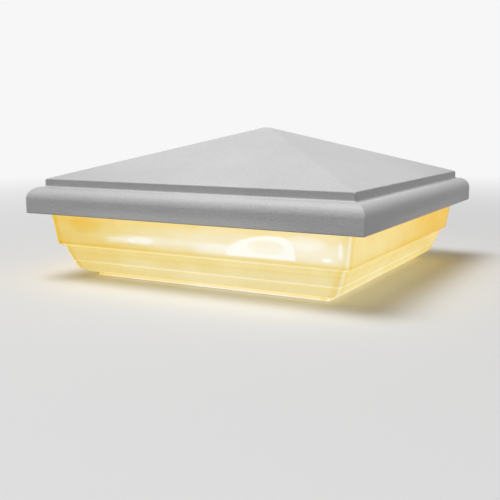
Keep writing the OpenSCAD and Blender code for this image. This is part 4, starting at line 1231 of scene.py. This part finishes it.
# dark and light shade, smoothest and roughest, patches of grain and of cloud per metre, and what else is
# not as in plainFinish
finishes = {
    "foam": ((0.016, 0.016, 0.017), (0.04, 0.04, 0.042), 0.85, 0.98, 1800.0, 90.0,
        {"grainShade": 0.7, "bump": 0.9, "depth": 0.25, "dust": 0.25}),
    "grommetRubber": ((0.012, 0.012, 0.013), (0.028, 0.028, 0.03), 0.45, 0.62, 2600.0, 120.0,
        {"bump": 0.25, "depth": 0.03, "dust": 0.3}),
    "foldedAluminium": ((0.62, 0.63, 0.64), (0.8, 0.81, 0.82), 0.24, 0.42, 900.0, 45.0,
        {"metal": 1.0, "stretch": (0.06, 1.0, 1.0), "grainShade": 0.6, "bump": 0.25, "depth": 0.02,
         "dust": 0.1, "scratches": 0.35}),
    "screwSteel": ((0.42, 0.42, 0.43), (0.62, 0.62, 0.63), 0.22, 0.4, 2400.0, 300.0,
        {"metal": 1.0, "grainShade": 0.4, "bump": 0.25, "depth": 0.01}),
    "springSteel": ((0.3, 0.31, 0.33), (0.48, 0.49, 0.52), 0.2, 0.36, 1400.0, 160.0,
        {"metal": 1.0, "stretch": (1.0, 0.05, 1.0), "bump": 0.25, "depth": 0.01, "scratches": 0.3,
         "scratchScale": 260.0}),
    "boardGreen": ((0.01, 0.085, 0.04), (0.018, 0.13, 0.062), 0.28, 0.4, 1600.0, 130.0,
        {"bump": 0.2, "depth": 0.02, "dust": 0.12}),
    "terminalGreen": ((0.02, 0.2, 0.075), (0.03, 0.26, 0.1), 0.38, 0.5, 2400.0, 220.0,
        {"bump": 0.3, "depth": 0.02, "dust": 0.1}),
    "canAluminium": ((0.6, 0.61, 0.63), (0.78, 0.79, 0.81), 0.2, 0.34, 1500.0, 240.0,
        {"metal": 1.0, "stretch": (1.0, 1.0, 0.08), "bump": 0.15, "depth": 0.01}),
    "ferrite": ((0.028, 0.028, 0.03), (0.062, 0.062, 0.066), 0.55, 0.75, 3000.0, 240.0,
        {"grainShade": 0.6, "bump": 0.5, "depth": 0.04}),
    "chipBlack": ((0.011, 0.011, 0.012), (0.024, 0.024, 0.025), 0.5, 0.66, 3400.0, 300.0,
        {"bump": 0.35, "depth": 0.02}),
    "solderMask": ((0.74, 0.74, 0.72), (0.84, 0.84, 0.82), 0.26, 0.38, 1800.0, 160.0,
        {"bump": 0.15, "depth": 0.01}),
    "wireRed": ((0.42, 0.012, 0.01), (0.56, 0.022, 0.018), 0.34, 0.46, 2600.0, 260.0,
        {"bump": 0.2, "depth": 0.01}),
    "wireBlack": ((0.01, 0.01, 0.011), (0.022, 0.022, 0.024), 0.34, 0.46, 2600.0, 260.0,
        {"bump": 0.2, "depth": 0.01}),
    "reflectorEnamel": ((0.8, 0.8, 0.79), (0.88, 0.88, 0.87), 0.2, 0.32, 700.0, 50.0,
        {"bump": 0.18, "depth": 0.03, "dust": 0.05}),
    "solderTin": ((0.5, 0.5, 0.52), (0.7, 0.7, 0.72), 0.2, 0.4, 2200.0, 500.0,
        {"metal": 1.0, "bump": 0.4, "depth": 0.03}),
    "maskedCopper": ((0.7, 0.7, 0.66), (0.8, 0.8, 0.76), 0.24, 0.36, 1800.0, 200.0,
        {"bump": 0.15, "depth": 0.01}),
    "trackGreen": ((0.016, 0.15, 0.066), (0.026, 0.2, 0.09), 0.26, 0.38, 1600.0, 150.0,
        {"bump": 0.2, "depth": 0.02, "dust": 0.1}),
    "ceramic": ((0.3, 0.21, 0.12), (0.42, 0.31, 0.19), 0.4, 0.55, 3200.0, 500.0,
        {"bump": 0.2, "depth": 0.01}),
    "windingCopper": ((0.5, 0.19, 0.075), (0.68, 0.3, 0.13), 0.25, 0.4, 2600.0, 400.0,
        {"metal": 1.0, "bump": 0.3, "depth": 0.03}),
    "ledBody": ((0.78, 0.77, 0.72), (0.86, 0.85, 0.8), 0.35, 0.5, 3000.0, 400.0,
        {"bump": 0.15, "depth": 0.01}),
}
made = {}
for name, (*shared, others) in finishes.items():
    made[name] = makeFinish(name, {**dict(zip(finishKeys, shared)), **others})
made["powderCoat"] = makeFinish("powderCoat", powderCoat, shadeRoof)
made["lensAcrylic"] = makeLensMaterial(lensGlow, lens)
made["ledPhosphor"] = makePhosphorMaterial(phosphorGlow)


def finishPiece(piece, finish, slot, *stands, body="base"):
    # a piece gets its look, the body that it rides on and the nodes that it stands for; slot is not used
    piece.data.materials.clear()
    piece.data.materials.append(made[finish])
    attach(piece, body)
    if stands:
        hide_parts(*stands)


finishPiece(roofPiece, "powderCoat", "roof_coat", "roof", body="cover")
finishPiece(lensPiece, "lensAcrylic", "lens_acrylic", "lens", body="skirt")
for node, piece in screwPieces.items():
    body = "cover" if node == "reflector_screws" else "base"
    finishPiece(piece, "screwSteel", "screw_steel", node, body=body)
ledLooks = {
    "ledBodies": ("ledBody", "led_phosphor"), "ledPhosphor": ("ledPhosphor", "led_phosphor"),
    "ledContacts": ("solderTin", "aluminium"),
}
for (title, side), piece in ledPieces.items():
    finishPiece(piece, *ledLooks[title], *(["leds_" + side] if title == "ledBodies" else []))
finishPiece(tracksPiece, "maskedCopper", "board_white")
for wires, node in ((jumpers, "jumper_wires_"), (feeds, "feed_wire_")):
    for pole, piece in wires.items():
        finishPiece(piece, poles[pole]["finish"], poles[pole]["slot"], node + pole.lower())
for piece in (*jumperJoints, *feedJoints, driverPads, smallPartEnds, *chipLegs.values()):
    finishPiece(piece, "solderTin", "aluminium")
finishPiece(driverTracks, "trackGreen", "board_green")
finishPiece(resistorBodies, "chipBlack", "chip_black")
finishPiece(ceramicBodies, "ceramic", "chip_black")
for node, piece in chipBodies.items():
    finishPiece(piece, "chipBlack", "chip_black", node)
finishPiece(canBody, "canAluminium", "can_aluminium", "capacitor")
finishPiece(canFoot, "grommetRubber", "grommet_rubber")
finishPiece(inductorCore, "ferrite", "ferrite", "inductor")
finishPiece(inductorLoops, "windingCopper", "ferrite")
finishPiece(clampScrews, "screwSteel", "screw_steel", "terminal_screws")
for node, row in roundedNodes.items():
    body, finish, slot = row[2:]
    finishPiece(roundedPieces[node], finish, slot, node, body=body)
print("finishes made")


# lengths in metres
stage = {
    "floorHeight": -0.0125, "floorHalf": 3.0,
    "floorSeen": 0.80, "floorLit": 0.22, "backdropSeen": 0.93, "worldLight": 0.22,
    "paleFrom": 0.16, "paleTo": 0.75,   # distance over which the floor turns into the even backdrop
    "lamps": {
        "keyLamp": {"place": (-0.42, -0.56, 1.9), "size": 1.2, "watts": 31.0},
        "sideLamp": {"place": (1.5, -0.25, 0.35), "size": 0.9, "watts": 1.6},
    },
}


def seenDirectly(tree):
    # 1 where the camera, a mirror or a clear surface looks, 0 for the light that falls on the object
    path = addNode(tree, "ShaderNodeLightPath").outputs
    first = calculate(tree, "MAXIMUM", path["Is Camera Ray"], path["Is Glossy Ray"])
    return calculate(tree, "MAXIMUM", first, path["Is Transmission Ray"])


def setStage(s):
    deselectAll()
    bpy.ops.mesh.primitive_plane_add(size=2 * s["floorHalf"], location=(0, 0, s["floorHeight"]))
    floor = bpy.context.object
    floor.name = "floor"
    material, tree, shader = startMaterial("paleFloor")
    seen = seenDirectly(tree)
    away = addNode(tree, "ShaderNodeVectorMath", {0: objectPlace(tree)}, operation="LENGTH").outputs["Value"]
    far = spread(tree, away, s["paleFrom"], s["paleTo"], smooth=True)
    near = mixColours(tree, far, (s["floorSeen"],) * 3, (0, 0, 0))
    tree.links.new(mixColours(tree, seen, (s["floorLit"],) * 3, near), shader.inputs["Base Color"])
    shader.inputs["Emission Color"].default_value = (1, 1, 1, 1)
    pale = times(tree, seen, far, s["backdropSeen"])
    tree.links.new(pale, shader.inputs["Emission Strength"])
    shader.inputs["Roughness"].default_value = 0.9
    shader.inputs["Specular IOR Level"].default_value = 0.0
    floor.data.materials.append(material)

    world = bpy.data.worlds.new("studio")
    scene.world = world
    world.use_nodes = True
    tree = world.node_tree
    background = tree.nodes["Background"]
    grey = spread(tree, seenDirectly(tree), 0.0, 1.0, s["worldLight"], s["backdropSeen"])
    background.inputs["Color"].default_value = (1, 1, 1, 1)
    tree.links.new(grey, background.inputs["Strength"])

    for name, lamp in s["lamps"].items():
        bpy.ops.object.light_add(type="AREA", location=lamp["place"])
        softBox = bpy.context.object
        softBox.name = name
        softBox.data.size = lamp["size"]
        softBox.data.energy = lamp["watts"]
        softBox.rotation_euler = (-Vector(lamp["place"])).to_track_quat("-Z", "Y").to_euler()


setStage(stage)
scene.view_settings.view_transform = "Standard"
print("stage set")
